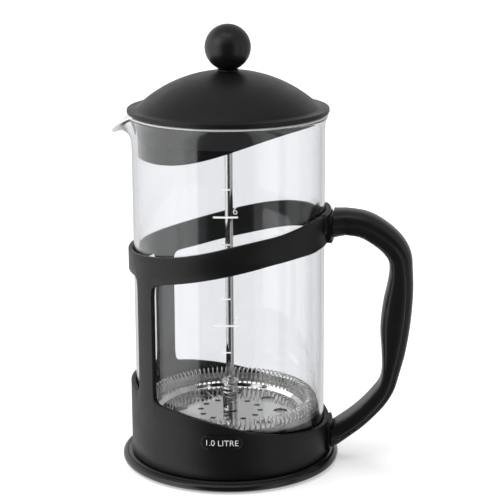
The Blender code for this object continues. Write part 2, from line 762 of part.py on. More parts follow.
def make_coil(parts, parent):
    """A closed spring: a helix of round wire wound on a ring that presses on the glass."""
    per_turn = 6
    count = COIL_TURNS * per_turn
    curve = bpy.data.curves.new("coil_spring", "CURVE")
    curve.dimensions = "3D"
    curve.bevel_depth = COIL_WIRE_R
    curve.bevel_resolution = 0
    spline = curve.splines.new("POLY")
    spline.points.add(count - 1)
    spline.use_cyclic_u = True
    for i, point in enumerate(spline.points):
        turn = 2.0 * math.pi * i / per_turn
        around = 2.0 * math.pi * i / count
        r = COIL_R + COIL_TUBE_R * math.cos(turn)
        point.co = (r * math.cos(around), r * math.sin(around), COIL_TUBE_R * math.sin(turn), 1.0)
    material = bright_steel("coil_steel", 0.15)
    curve.materials.append(material)
    return new_object("coil_spring", curve, parts, parent, (0.0, 0.0, COIL_Z))


def main():
    clear_scene()
    parts = new_collection("french_press")
    cutters = new_collection("cutters")
    holder = new_empty("holder", parts)
    beaker_lift = new_empty("beaker_lift", parts, holder)
    lid_lift = new_empty("lid_lift", parts, beaker_lift)
    lid_turn = new_empty("lid_turn", parts, lid_lift)
    plunger = new_empty("plunger", parts, lid_lift)

    make_frame(parts, cutters, holder)
    make_foot(parts, holder)
    make_badge(parts, holder)
    make_handle(parts, cutters, holder)
    make_handle_screw("handle_screw_upper", UPPER_SCREW_Z, parts, holder)
    make_handle_screw("handle_screw_lower", LOWER_SCREW_Z, parts, holder)
    make_beaker(parts, beaker_lift)
    make_lid_bush(parts, lid_lift)
    make_bush_nut(parts, lid_lift)
    make_lid_dome(parts, lid_turn)
    make_lid_skirt(parts, lid_turn)
    make_knob(parts, plunger)
    make_rod_pieces(parts, plunger)
    make_filter_plates(parts, cutters, plunger)
    make_coil(parts, plunger)


main()
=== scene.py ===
"""Looks of the french press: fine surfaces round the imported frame, materials, studio light, camera.

Angles round the Z axis are counted from the handle, in degrees, and the spout is at 180.
Outlines of turned pieces are (radius, height, corner radius) points.
"""

import math

import bmesh
import bpy
from mathutils import Matrix, Vector


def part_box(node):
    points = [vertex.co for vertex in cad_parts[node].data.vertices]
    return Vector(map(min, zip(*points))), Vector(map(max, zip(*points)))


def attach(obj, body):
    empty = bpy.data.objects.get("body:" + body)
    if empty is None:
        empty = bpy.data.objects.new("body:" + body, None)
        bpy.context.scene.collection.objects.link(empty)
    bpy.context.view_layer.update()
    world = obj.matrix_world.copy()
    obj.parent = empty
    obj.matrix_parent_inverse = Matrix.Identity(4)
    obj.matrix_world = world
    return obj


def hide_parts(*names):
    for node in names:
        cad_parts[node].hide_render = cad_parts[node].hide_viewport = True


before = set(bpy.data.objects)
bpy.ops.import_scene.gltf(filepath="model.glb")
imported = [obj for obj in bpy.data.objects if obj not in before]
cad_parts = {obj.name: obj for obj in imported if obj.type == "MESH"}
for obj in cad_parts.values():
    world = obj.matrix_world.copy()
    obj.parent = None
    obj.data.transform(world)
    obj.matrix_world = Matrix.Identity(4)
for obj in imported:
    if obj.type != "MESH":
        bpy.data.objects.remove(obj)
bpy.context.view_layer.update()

MM = 0.001
GAP = 0.3 * MM
SEGMENTS = 160


def cad_span(node):
    """How far a CAD node reaches from the axis, and its lowest and highest point."""
    low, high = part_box(node)
    return high.y, low.z, high.z


# Holder
FRAME_R, FRAME_LOW, _ = cad_span("frame")
FRAME_WALL = 2.4 * MM
FLOOR_TOP = 7.0 * MM
BASE_EDGE_MEAN = 32.6 * MM
BASE_EDGE_SLANT = -10.4 * MM
BAND_LOW_MEAN = 108.0 * MM
BAND_LOW_SLANT = 10.8 * MM
BAND_LOW_AT_SPOUT = 102.3 * MM
BAND_TOP_MEAN = 121.5 * MM
BAND_TOP_SLANT = 9.5 * MM
STRUT_NEAR = 31.0
STRUT_FAR = 46.2
FILLET = 4.0 * MM
SPOUT_ANGLE = 180.0
WALL_ROUNDING = 0.4 * MM

# How far the holder's edges leave their plain slants, and the angles where each swell starts, is full,
# fades and stops, counted from the handle round the front side, or round the back
BASE_SWELLS = ((1.5 * MM, 70.0, 95.0, 115.0, 140.0),)
BAND_LOW_SWELLS = ((0.9 * MM, 45.0, 65.0, 120.0, 150.0), (-1.6 * MM, 5.0, 15.0, 28.0, 50.0))
BAND_LOW_BACK_SWELLS = ((-1.5 * MM, 45.0, 90.0, 110.0, 140.0),)
BAND_TOP_SWELLS = ((1.1 * MM, 50.0, 85.0, 130.0, 175.0), (2.0 * MM, 0.0, 10.0, 20.0, 60.0))

# Pads on the holder that the handle sits on, and a wider tab round the top of the upper one
SEAT_R = 53.2 * MM
UPPER_SEAT_Z = (116.5 * MM, 132.6 * MM)
LOWER_SEAT_Z = (6.2 * MM, 21.2 * MM)
SEAT_HALF_ANGLE = 12.0
SEAT_STEP = 2.0 * MM
TAB_R = SEAT_R - 1.2 * MM
TAB_HALF_ANGLE = 20.0
TAB_HEIGHT = 10.0 * MM
PAD_CORNER = 3.4 * MM
PAD_ROUNDING = 0.9 * MM

# Foot and badge
FOOT_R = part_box("foot")[1].x
FOOT_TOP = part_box("foot")[1].z
FOOT_BEAD = 1.6 * MM
FOOT_RECESS = 0.8 * MM
BADGE_ANGLE = -90.0
_, BADGE_LOW, BADGE_TOP = cad_span("capacity_badge")
BADGE_Z = 0.5 * (BADGE_LOW + BADGE_TOP)
BADGE_LENGTH = 20.8 * MM
BADGE_HEIGHT = BADGE_TOP - BADGE_LOW
BADGE_THICK = 0.5 * MM
BADGE_FACE = FRAME_R + GAP + BADGE_THICK
BADGE_SINK = 0.12 * MM
BADGE_RIM_R = 0.4 * MM
BADGE_RIM_INSET = 0.45 * MM
BADGE_WORDS = "1.0 LITRE"
BADGE_TEXT_SIZE = 4.3 * MM
BADGE_TEXT_THICK = 0.1 * MM
BADGE_TEXT_SINK = 0.06 * MM
BADGE_TEXT_DROP = 0.2 * MM
TEXT_THINNING = 0.014

# Stations down the middle of the handle, in mm: x, z, thickness in its plane, width across it, and how
# far its outer and its inner edge are rounded down the flanks
HANDLE_STATIONS = (
    (45.0, 125.0, 15.0, 21.0, 6.0, 5.2),
    (51.0, 125.3, 14.6, 20.0, 6.0, 5.0),
    (54.2, 125.7, 14.0, 18.8, 5.9, 4.6),
    (57.0, 126.0, 13.5, 17.6, 5.8, 4.0),
    (60.0, 126.1, 13.2, 16.9, 5.6, 3.4),
    (68.2, 124.8, 13.2, 16.5, 5.4, 3.0),
    (75.6, 120.9, 13.2, 16.0, 5.2, 2.8),
    (82.4, 115.2, 12.8, 16.0, 4.6, 2.8),
    (86.4, 108.8, 12.2, 16.5, 3.6, 2.8),
    (87.3, 101.6, 11.9, 17.0, 2.8, 3.0),
    (87.0, 93.0, 13.4, 18.0, 2.6, 3.4),
    (85.9, 83.5, 15.0, 18.5, 2.6, 4.0),
    (84.7, 71.2, 15.1, 18.5, 2.6, 4.0),
    (84.1, 58.8, 12.4, 17.5, 2.6, 3.2),
    (82.9, 48.2, 9.4, 16.5, 2.2, 1.8),
    (80.9, 40.2, 8.8, 16.0, 2.0, 1.2),
    (76.9, 33.7, 9.3, 16.0, 1.8, 1.0),
    (71.6, 27.6, 9.4, 16.0, 1.8, 1.0),
    (65.4, 21.8, 9.7, 16.2, 1.8, 1.2),
    (58.6, 16.6, 10.1, 16.5, 2.2, 1.6),
    (55.8, 14.6, 10.5, 17.2, 2.8, 2.2),
    (52.4, 12.6, 11.2, 18.6, 3.8, 3.4),
    (45.0, 10.2, 12.0, 20.0, 4.6, 4.4),
)
HANDLE_BEAD_DEPTH = 0.25 * MM
HANDLE_FLANK_SWELL = 0.15 * MM
HANDLE_SPAN_STEPS = 9

# Beaker
LIP_R, GLASS_LOW, _ = cad_span("beaker")
GLASS_R = LIP_R - 1.1 * MM
GLASS_WALL = 2.2 * MM
GLASS_CORNER = 5.0 * MM
SPOUT_HALF_WIDTH = 27.0
# The outer side of the lip, upwards, in mm: radius and height, at the plain rim and at the spout's middle
RIM_PROFILE = (
    (48.5, 160.0), (48.5, 164.5), (48.5, 168.0), (48.5, 171.0), (48.55, 173.6),
    (48.7, 175.8), (49.05, 177.6), (49.7, 179.2), (50.6, 180.4),
)
SPOUT_PROFILE = (
    (48.5, 160.0), (48.6, 164.3), (48.9, 167.2), (49.7, 169.3), (51.1, 170.9),
    (52.7, 171.7), (54.6, 171.7), (56.5, 171.1), (58.2, 170.3),
)
MARK_ANGLE = -87.0
MARK_LOWEST = 71.0 * MM
MARK_STEP = 13.5 * MM
MARK_COUNT = 7
MARK_THICK = 0.06 * MM
MARK_GAP = 0.02 * MM
LONG_MARKS = (1, 5)
# A mark's half angle and half height
LONG_MARK = (7.0, 0.45 * MM)
SHORT_MARK = (2.6, 0.35 * MM)
NUMBERED_MARKS = (1, 3, 5)
NUMBER_SIZE = 5.2 * MM
NUMBER_TURN = 5.5
NUMBER_RISE = 3.0 * MM

# Lid
DOME_SPHERE_R = 66.8 * MM
DOME_SPHERE_Z = 135.5 * MM
DOME_WALL = 2.0 * MM
DOME_CROWN_R = 7.0 * MM
DOME_FOOT_R = 45.9 * MM
LID_R, LID_LOW, DOME_CROWN = cad_span("lid_dome")
LID_RIM_TOP = LID_LOW + 2.3 * MM
SKIRT_R, SKIRT_LOW, SKIRT_TOP = cad_span("lid_skirt")
SKIRT_WALL = 1.6 * MM
SKIRT_RISE = 17.8 * MM
SKIRT_CORNER = 1.6 * MM
SKIRT_EDGE = 0.3 * MM
SKIRT_LEVELS = 14
SKIRT_MATT_Z = 170.0 * MM
BUSH_R = 3.0 * MM
BUSH_FLANGE = 1.6 * MM

# Plunger
KNOB_R, KNOB_LOW, KNOB_TOP = cad_span("knob")
KNOB_Z = KNOB_TOP - KNOB_R
KNOB_NECK_R = 4.6 * MM
ROD_R, ROD_LOW, ROD_TOP = cad_span("plunger_rod")
BORE_R = ROD_R + GAP
_, COLLAR_LOW, COLLAR_TOP = cad_span("rod_collar")
HUB_R, HUB_LOW, HUB_TOP = cad_span("plate_hub")
PLATE_HOLE_R = BORE_R + 0.1 * MM
PLATE_TOP = 25.0 * MM
PLATE_WALL = 0.5 * MM
MESH_R, MESH_LOW, MESH_TOP = cad_span("mesh_filter")
MESH_WALL = 0.35 * MM
MESH_EDGE = MESH_TOP - 2.2 * MM
CROSS_R, _, CROSS_TOP = cad_span("cross_plate")
CROSS_WALL = 0.6 * MM
COIL_R = 42.1 * MM
COIL_Z = 31.2 * MM
COIL_TUBE_R = 2.8 * MM
COIL_WIRE_R = 0.36 * MM
COIL_TURNS = 104
COIL_STEPS_PER_TURN = 14

# Colours
BLACK = (0.005, 0.005, 0.0052)
SKIRT_BLACK = (0.006, 0.006, 0.0063)
SKIRT_GREY = (0.045, 0.045, 0.046)
BUSH_GREY = (0.03, 0.03, 0.031)
GLASS_TINT = (0.805, 0.813, 0.827)
# The white of the painted highlight at the glass's rim and lip
PAINTED_GLINT_WHITE = (0.97, 0.975, 0.98)
STEEL_TINT = (1.0, 0.985, 0.96)

# Where the glass is painted white, a painted highlight for the light its edge gathers: heights at its rim,
# and places along X at the spout's lip
PAINTED_RIM_GLINT = (180.0 * MM, 180.5 * MM)
PAINTED_LIP_GLINT = (-50.5 * MM, -54.0 * MM)
PAINTED_RIM_GLINT_SHARE = 0.75
PAINTED_LIP_GLINT_SHARE = 0.45

# Studio walls: brightness by direction round the Z axis, in degrees, with the camera at -90
PANELS = (
    (-180.0, 1.3), (-142.0, 1.7), (-136.0, 1.3), (-124.0, 1.2), (-121.0, 0.07), (-57.0, 0.07), (-54.0, 0.5),
    (-44.0, 0.6), (-41.0, 0.85), (-25.0, 0.85), (-22.0, 0.2), (-14.0, 0.25), (-12.0, 0.75), (6.0, 0.75),
    (10.0, 0.5), (38.0, 0.45), (45.0, 0.5), (60.0, 0.65), (70.0, 0.8), (110.0, 0.75), (130.0, 0.9),
    (180.0, 1.3),
)
# Soft lights on the walls: gain, and where each starts, is full, fades and stops, by the direction's
# upward part and by its angle in radians
SOFTBOXES = (
    (1.3, (0.3, 0.45, 0.7, 0.85), (-3.0, -2.7, -1.9, -1.6)),
    (4.0, (0.84, 0.87, 0.92, 0.95), (-3.0, -2.6, -1.2, -0.5)),
)
CEILING = 0.42
CEILING_FADE = (0.35, 0.75)
BACKDROP = 0.8

# Floor, light and camera
FLOOR_HALF_SIZE = 60.0
FLOOR_TONES = (0.595, 0.605)
FLOOR_GLOW = 0.46
KEY_DIRECTION = Vector((-0.35, 0.14, 1.0))
KEY_ENERGY = 3.0
KEY_SPREAD = 75.0
CAMERA_DISTANCE = 0.82645
CAMERA_HEIGHT = 0.31895
CAMERA_SWING = 5.0
CAMERA_DOWN = 14.174
CAMERA_ROLL = 0.25
CAMERA_TURN = 4.205
CAMERA_LENS = 120.6
CAMERA_REACH = 200.0


# Materials

def new_material(name, colour, roughness, metallic=0.0, specular=0.5):
    """A material with a Principled shader."""
    material = bpy.data.materials.new(name)
    material.use_nodes = True
    shader = material.node_tree.nodes["Principled BSDF"]
    shader.inputs["Base Color"].default_value = (*colour, 1.0)
    shader.inputs["Roughness"].default_value = roughness
    shader.inputs["Metallic"].default_value = metallic
    shader.inputs["Specular IOR Level"].default_value = specular
    return material, material.node_tree, shader


def add_node(tree, kind, values=None):
    """A shader node, with values for some of its inputs."""
    node = tree.nodes.new("ShaderNode" + kind)
    for socket, value in (values or {}).items():
        node.inputs[socket].default_value = value
    return node


def feed(node, socket, value):
    """Connects a value to one of a node's inputs."""
    node.id_data.links.new(value, node.inputs[socket])


def pattern(tree, scale, stretch=(1.0, 1.0, 1.0), detail=2.0):
    """Noise over the object, with cells of about 1/scale metres, stretched by axis."""
    coordinates = add_node(tree, "TexCoord")
    mapping = add_node(tree, "Mapping", {"Scale": stretch})
    noise = add_node(tree, "TexNoise", {"Scale": scale, "Detail": detail})
    feed(mapping, "Vector", coordinates.outputs["Object"])
    feed(noise, "Vector", mapping.outputs["Vector"])
    return noise.outputs["Fac"]


def axes(tree, kind):
    """The parts along X, Y and Z of a kind of coordinates."""
    coordinates = add_node(tree, "TexCoord")
    split = add_node(tree, "SeparateXYZ")
    feed(split, "Vector", coordinates.outputs[kind])
    return split.outputs["X"], split.outputs["Y"], split.outputs["Z"]


def ranged(tree, value, start, stop, low=0.0, high=1.0):
    """Maps a value from start..stop to low..high, clamped."""
    limits = {"From Min": start, "From Max": stop, "To Min": low, "To Max": high}
    node = add_node(tree, "MapRange", limits)
    feed(node, "Value", value)
    return node.outputs["Result"]


def spread(tree, value, low, high):
    """Maps the middle of a pattern's range to low and high."""
    return ranged(tree, value, 0.3, 0.7, low, high)


def combined(tree, operation, first, second):
    """One step of arithmetic on two values, each a socket or a number."""
    node = add_node(tree, "Math")
    node.operation = operation
    for value, socket in zip((first, second), node.inputs):
        if isinstance(value, float):
            socket.default_value = value
        else:
            tree.links.new(value, socket)
    return node.outputs["Value"]


def mixed_colours(tree, value, first, second):
    """Two colours, each a socket or three numbers, mixed by a value."""
    node = add_node(tree, "Mix")
    node.data_type = "RGBA"
    feed(node, "Factor", value)
    for socket, colour in (("A", first), ("B", second)):
        if isinstance(colour, tuple):
            node.inputs[socket].default_value = (*colour, 1.0)
        else:
            feed(node, socket, colour)
    return node.outputs["Result"]


def add_bump(tree, shader, height, strength, distance):
    bump = add_node(tree, "Bump", {"Strength": strength, "Distance": distance})
    feed(bump, "Height", height)
    feed(shader, "Normal", bump.outputs["Normal"])


def vary(tree, shader, stains, colours, scratches, sheens):
    """Colour and roughness that follow patterns."""
    feed(shader, "Base Color", mixed_colours(tree, stains, *colours))
    feed(shader, "Roughness", spread(tree, scratches, *sheens))


def moulded_plastic(name, roughness, grain, colour=BLACK, specular=0.32):
    """Plastic with a fine moulded grain and slight changes of sheen."""
    material, tree, shader = new_material(name, colour, roughness, specular=specular)
    colours = [tuple(gain * c for c in colour) for gain in (0.8, 1.25)]
    sheens = (roughness - 0.04, roughness + 0.04)
    vary(tree, shader, pattern(tree, 60.0), colours, pattern(tree, 90.0, detail=3.0), sheens)
    add_bump(tree, shader, pattern(tree, 2600.0, detail=1.0), grain, 0.02 * MM)
    return material


def matt_above(material, height, polished, matt):
    """Makes a plastic polished and black below a height, and matt and greyer above it."""
    tree = material.node_tree
    blend = 0.3 * MM
    step = ranged(tree, axes(tree, "Object")[2], height - blend, height + blend)
    shader = tree.nodes["Principled BSDF"]
    feed(shader, "Roughness", ranged(tree, step, 0.0, 1.0, polished, matt))
    feed(shader, "Base Color", mixed_colours(tree, step, SKIRT_BLACK, SKIRT_GREY))


def painted_glint_share(tree):
    """0 in the wall of the glass, and more at its rim and at the spout's lip, where a white painted
    highlight stands for the light that gathers there.
    """
    x, _, z = axes(tree, "Object")
    rim = ranged(tree, z, *PAINTED_RIM_GLINT, 0.0, PAINTED_RIM_GLINT_SHARE)
    lip = ranged(tree, x, *PAINTED_LIP_GLINT, 0.0, PAINTED_LIP_GLINT_SHARE)
    return combined(tree, "MAXIMUM", rim, lip)


def clear_glass(name):
    """Blown glass: smooth, with a slow waviness along its length, and a white painted highlight at its rim
    and lip.
    """
    material, tree, shader = new_material(name, GLASS_TINT, 0.0)
    shader.inputs["IOR"].default_value = 1.5
    # Less clear and whiter at the rim and lip: a painted highlight
    share = painted_glint_share(tree)
    feed(shader, "Transmission Weight", ranged(tree, share, 0.0, 1.0, 1.0, 0.0))
    feed(shader, "Base Color", mixed_colours(tree, share, GLASS_TINT, PAINTED_GLINT_WHITE))
    add_bump(tree, shader, pattern(tree, 40.0, stretch=(1.0, 1.0, 0.25)), 0.12, 0.15 * MM)
    return material


def polished_steel(name, roughness, tone, streaks=(1.0, 1.0, 0.05), wear=0.3):
    """Steel with faint polishing streaks."""
    bright = tuple(tone * c for c in STEEL_TINT)
    dull = tuple(0.86 * c for c in bright)
    material, tree, shader = new_material(name, bright, roughness, metallic=1.0)
    lines = pattern(tree, 900.0, stretch=streaks, detail=3.0)
    sheens = (roughness * 0.7, roughness * 1.5)
    vary(tree, shader, lines, (dull, bright), pattern(tree, 300.0, stretch=streaks), sheens)
    add_bump(tree, shader, lines, wear, 0.01 * MM)
    return material


def woven_gauze(name):
    """Fine steel cloth: upright and level wires, too close to count from afar."""
    material, tree, shader = new_material(name, (0.7, 0.69, 0.67), 0.38, metallic=1.0)
    upright = pattern(tree, 1500.0, stretch=(1.0, 1.0, 0.04), detail=2.0)
    vary(tree, shader, upright, ((0.5, 0.49, 0.475), (0.9, 0.89, 0.87)), upright, (0.28, 0.5))
    coordinates = add_node(tree, "TexCoord")
    wave = add_node(tree, "TexWave", {"Scale": 900.0})
    wave.bands_direction = "DIAGONAL"
    feed(wave, "Vector", coordinates.outputs["Object"])
    add_bump(tree, shader, wave.outputs["Fac"], 0.5, 0.05 * MM)
    return material


def white_print(name):
    """Fired enamel, a little uneven."""
    material, tree, shader = new_material(name, (0.86, 0.86, 0.85), 0.45)
    colours = ((0.8, 0.8, 0.79), (0.9, 0.9, 0.89))
    vary(tree, shader, pattern(tree, 700.0), colours, pattern(tree, 500.0), (0.4, 0.55))
    return material


def turned_brass(name):
    material, tree, shader = new_material(name, (0.62, 0.45, 0.2), 0.3, metallic=1.0)
    lines = pattern(tree, 1200.0, stretch=(0.1, 0.1, 1.0))
    vary(tree, shader, lines, ((0.5, 0.36, 0.15), (0.68, 0.5, 0.24)), lines, (0.22, 0.38))
    return material


# Pieces

def smooth(obj, degrees=35.0):
    obj.data.shade_smooth()
    obj.data.set_sharp_from_angle(angle=math.radians(degrees))


def new_piece(name, mesh, body, material, nodes=()):
    """An object in the frame that moves with a body, and stands for CAD nodes."""
    obj = bpy.data.objects.new(name, mesh)
    bpy.context.scene.collection.objects.link(obj)
    obj.data.materials.clear()
    obj.data.materials.append(material)
    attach(obj, body)
    if nodes:
        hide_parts(*nodes)
    return obj


def mesh_of(bm, name):
    mesh = bpy.data.meshes.new(name)
    bm.to_mesh(mesh)
    bm.free()
    return mesh


def solid_mesh(bm, name):
    """A mesh with every face turned outwards."""
    bmesh.ops.recalc_face_normals(bm, faces=bm.faces)
    return mesh_of(bm, name)


def bridge(bm, line, beside, closed=False):
    """Quads between two lines of vertices, and across their ends if they close."""
    count = len(line)
    for k in range(count if closed else count - 1):
        n = (k + 1) % count
        bm.faces.new((line[k], beside[k], beside[n], line[n]))


def baked(obj):
    """The object's mesh with its modifiers applied. The object is removed."""
    bpy.context.view_layer.update()
    evaluated = obj.evaluated_get(bpy.context.evaluated_depsgraph_get())
    mesh = bpy.data.meshes.new_from_object(evaluated)
    bpy.data.objects.remove(obj)
    return mesh


def add_solidify(obj, thickness):
    solidify = obj.modifiers.new("wall", "SOLIDIFY")
    solidify.thickness = thickness
    solidify.offset = -1.0
    solidify.use_even_offset = True
    solidify.use_quality_normals = True


def add_bevel(obj, width):
    bevel = obj.modifiers.new("edge", "BEVEL")
    bevel.width = width
    bevel.segments = 3
    bevel.limit_method = "ANGLE"
    bevel.angle_limit = math.radians(50.0)
    bevel.use_clamp_overlap = False
    bevel.harden_normals = True


def add_cut(obj, cutter):
    cut = obj.modifiers.new("cut", "BOOLEAN")
    cut.operation = "DIFFERENCE"
    cut.object = cutter


def rounded(outline, closed=True):
    """An outline with each corner (x, y, radius) turned into a parabola close to an arc."""
    points = []
    count = len(outline)
    steps = 4
    for i, (x, y, radius) in enumerate(outline):
        corner = Vector((x, y))
        if radius == 0.0 or (not closed and i in (0, count - 1)):
            points.append(corner)
            continue
        before = Vector(outline[i - 1][:2]) - corner
        after = Vector(outline[(i + 1) % count][:2]) - corner
        reach = radius / max(math.tan(0.5 * before.angle(after)), 0.05)
        reach = min(reach, 0.48 * before.length, 0.48 * after.length)
        start = corner + reach * before.normalized()
        end = corner + reach * after.normalized()
        for step in range(steps + 1):
            t = step / steps
            points.append((1.0 - t) ** 2 * start + 2.0 * t * (1.0 - t) * corner + t ** 2 * end)
    return points


def turned_mesh(name, points, closed=True, segments=SEGMENTS):
    """Turns an outline round the Z axis. Points on the axis become one vertex."""
    bm = bmesh.new()
    rings = []
    for r, z in points:
        if r < 1e-6:
            rings.append([bm.verts.new((0.0, 0.0, z))] * segments)
            continue
        angles = [2.0 * math.pi * i / segments for i in range(segments)]
        rings.append([bm.verts.new((r * math.cos(a), r * math.sin(a), z)) for a in angles])
    pairs = list(zip(rings, rings[1:]))
    if closed:
        pairs.append((rings[-1], rings[0]))
    for low, high in pairs:
        for i in range(segments):
            j = (i + 1) % segments
            corners = list(dict.fromkeys((low[i], low[j], high[j], high[i])))
            if len(corners) > 2:
                bm.faces.new(corners)
    return solid_mesh(bm, name)


def turned_piece(name, outline, body, material, nodes, closed=True, segments=SEGMENTS):
    mesh = turned_mesh(name, rounded(outline, closed), closed, segments)
    smooth(new_piece(name, mesh, body, material, nodes))


def on_cylinder(radius, degrees, z):
    angle = math.radians(degrees)
    return Vector((radius * math.cos(angle), radius * math.sin(angle), z))


def cylinder_sheet(name, radius, angles, rows, filled=None):
    """A sheet of quads on a cylinder, between rows that give a height for an angle. A sheet that goes
    all the way round has a rule that says which of its cells are filled, by row and angle."""
    bm = bmesh.new()
    grid = [[bm.verts.new(on_cylinder(radius, a, row(a))) for row in rows] for a in angles]
    if filled is None:
        for line, beside in zip(grid, grid[1:]):
            bridge(bm, line, beside)
        return mesh_of(bm, name)
    for i, line in enumerate(grid):
        j = (i + 1) % len(grid)
        beside = grid[j]
        after = angles[j] if j else angles[0] + 360.0
        for k in range(len(rows) - 1):
            if filled(k, 0.5 * (angles[i] + after)):
                bm.faces.new((line[k], beside[k], beside[k + 1], line[k + 1]))
    bmesh.ops.delete(bm, geom=[v for v in bm.verts if not v.link_faces], context="VERTS")
    return mesh_of(bm, name)


def columns_round(bm, angles, section):
    """Columns of vertices round the Z axis, along the (r, z) outline that section gives for each angle."""
    return [[bm.verts.new(on_cylinder(r, a, z)) for r, z in section(a)] for a in angles]


def joined(name, objects):
    """One mesh of several objects' meshes, which are removed."""
    bm = bmesh.new()
    for obj in objects:
        bm.from_mesh(baked(obj))
    return mesh_of(bm, name)


def scratch(name, data):
    obj = bpy.data.objects.new(name, data)
    bpy.context.scene.collection.objects.link(obj)
    return obj


# The holder

def from_spout(degrees):
    return abs((degrees - SPOUT_ANGLE + 180.0) % 360.0 - 180.0)


def fillet_rise(degrees):
    """How far a window's corner fillet reaches from its level edge, at an angle near a strut."""
    distance = from_spout(degrees)
    if STRUT_NEAR <= distance <= STRUT_FAR:
        return FILLET
    arc = min(abs(distance - STRUT_NEAR), abs(distance - STRUT_FAR)) * math.radians(1.0) * FRAME_R
    inside = FILLET - arc
    if inside <= 0.0:
        return 0.0
    return FILLET - math.sqrt(FILLET ** 2 - inside ** 2)


def smooth_step(t):
    t = min(max(t, 0.0), 1.0)
    return t * t * (3.0 - 2.0 * t)


def before_handle(degrees):
    """Degrees from the handle on the front side, and 0 on the back."""
    angle = 360.0 - degrees % 360.0
    return angle if angle <= 180.0 else 0.0


def hump(angle, start, full, fade, stop):
    """0 outside start and stop, 1 between full and fade."""
    return smooth_step((angle - start) / (full - start)) * smooth_step((stop - angle) / (stop - fade))


def swelling(angle, swells):
    return sum(reach * hump(angle, *stops) for reach, *stops in swells)


def base_edge(degrees):
    """Slanted down to the handle, and a little fuller at the front."""
    slanted = BASE_EDGE_MEAN + BASE_EDGE_SLANT * math.cos(math.radians(degrees))
    return slanted + swelling(before_handle(degrees), BASE_SWELLS) + fillet_rise(degrees)


def band_low_edge(degrees):
    """Slanted up to the handle, and level between the struts."""
    slanted = BAND_LOW_MEAN + BAND_LOW_SLANT * math.cos(math.radians(degrees))
    slanted += swelling(before_handle(degrees), BAND_LOW_SWELLS)
    slanted += swelling(degrees % 360.0, BAND_LOW_BACK_SWELLS)
    level = BAND_LOW_AT_SPOUT if from_spout(degrees) < 0.5 * (STRUT_NEAR + STRUT_FAR) else slanted
    return level - fillet_rise(degrees)


def band_top_edge(degrees):
    """Slanted up to the handle, and swept up a little more to its seat on the front side."""
    angle = math.radians(degrees)
    slanted = BAND_TOP_MEAN + BAND_TOP_SLANT * (math.cos(angle) - 0.1 * math.cos(3.0 * angle))
    return slanted + swelling(before_handle(degrees), BAND_TOP_SWELLS)


def frame_angles():
    """Close even steps round the holder, and closer ones through the windows' corner fillets."""
    fillet_angle = math.degrees(FILLET / FRAME_R)
    special = []
    for side in (-1.0, 1.0):
        for edge, away in ((STRUT_NEAR, -1.0), (STRUT_FAR, 1.0)):
            for share in (0.0, 0.03, 0.1, 0.22, 0.4, 0.65, 1.0):
                special.append((SPOUT_ANGLE + side * (edge + away * share * fillet_angle)) % 360.0)
    even = [1.5 * i for i in range(240)]
    kept = [a for a in even if min(abs(a - s) for s in special) > 0.6]
    return sorted(kept + special)


def between(low_edge, high_edge, share):
    """A row that lies a share of the way from one edge up to another."""
    return lambda a: low_edge(a) + share * (high_edge(a) - low_edge(a))


def frame_bottom(degrees):
    return FRAME_LOW


def frame_rows():
    """Levels up the holder's wall. The windows lie between the base's edge and the band's lower edge."""
    rows = [between(frame_bottom, base_edge, k / 4) for k in range(5)]
    rows += [between(base_edge, band_low_edge, k / 4) for k in range(1, 5)]
    rows += [between(band_low_edge, band_top_edge, k / 3) for k in range(1, 4)]
    return rows


def seat_pad(name, heights, half_angle, outer_r, inner_r):
    """A pad on the wall that the handle's root sits on, with rounded corners."""
    low, high = heights
    columns = 24
    levels = 8
    half = math.radians(half_angle) * outer_r
    turns = [math.radians(90.0 * (2.0 * i / columns - 1.0)) for i in range(columns + 1)]
    angles = [half_angle * math.sin(turn) for turn in turns]

    def cut(degrees):
        beyond = max(abs(math.radians(degrees)) * outer_r - (half - PAD_CORNER), 0.0)
        return PAD_CORNER - math.sqrt(max(PAD_CORNER ** 2 - beyond ** 2, 0.0))

    edges = (lambda a: low + cut(a), lambda a: high - cut(a))
    rows = [between(*edges, k / levels) for k in range(levels + 1)]
    pad = scratch(name, cylinder_sheet(name, outer_r, angles, rows))
    add_solidify(pad, outer_r - inner_r)
    add_bevel(pad, PAD_ROUNDING)
    return pad


def holder_wall():
    def filled(row, degrees):
        return not 4 <= row <= 7 or STRUT_NEAR < from_spout(degrees) < STRUT_FAR

    wall = scratch("wall", cylinder_sheet("wall", FRAME_R, frame_angles(), frame_rows(), filled))
    wall.data.shade_smooth()
    add_solidify(wall, FRAME_WALL)
    add_bevel(wall, WALL_ROUNDING)
    return wall


def holder_floor():
    radius = FRAME_R - 0.5 * FRAME_WALL
    low = FRAME_LOW + GAP
    outline = ((0.0, FLOOR_TOP), (radius, FLOOR_TOP), (radius, low), (0.0, low))
    return scratch("floor", turned_mesh("floor", outline, False))


def make_holder_frame():
    inner_r = FRAME_R - FRAME_WALL
    seat_inner_r = inner_r + 0.5 * MM
    upper_low, upper_top = UPPER_SEAT_Z
    parts = (
        holder_wall(),
        holder_floor(),
        seat_pad("upper_tab", (upper_top - TAB_HEIGHT, upper_top), TAB_HALF_ANGLE, TAB_R, inner_r),
        seat_pad("upper_seat", (upper_low, upper_top - SEAT_STEP), SEAT_HALF_ANGLE, SEAT_R, seat_inner_r),
        seat_pad("lower_seat", LOWER_SEAT_Z, SEAT_HALF_ANGLE, SEAT_R, seat_inner_r),
    )
    mesh = joined("holder_frame", parts)
    material = moulded_plastic("holder_black", 0.42, 0.35, specular=0.29)
    smooth(new_piece("holder_frame", mesh, "holder", material, ("frame",)))


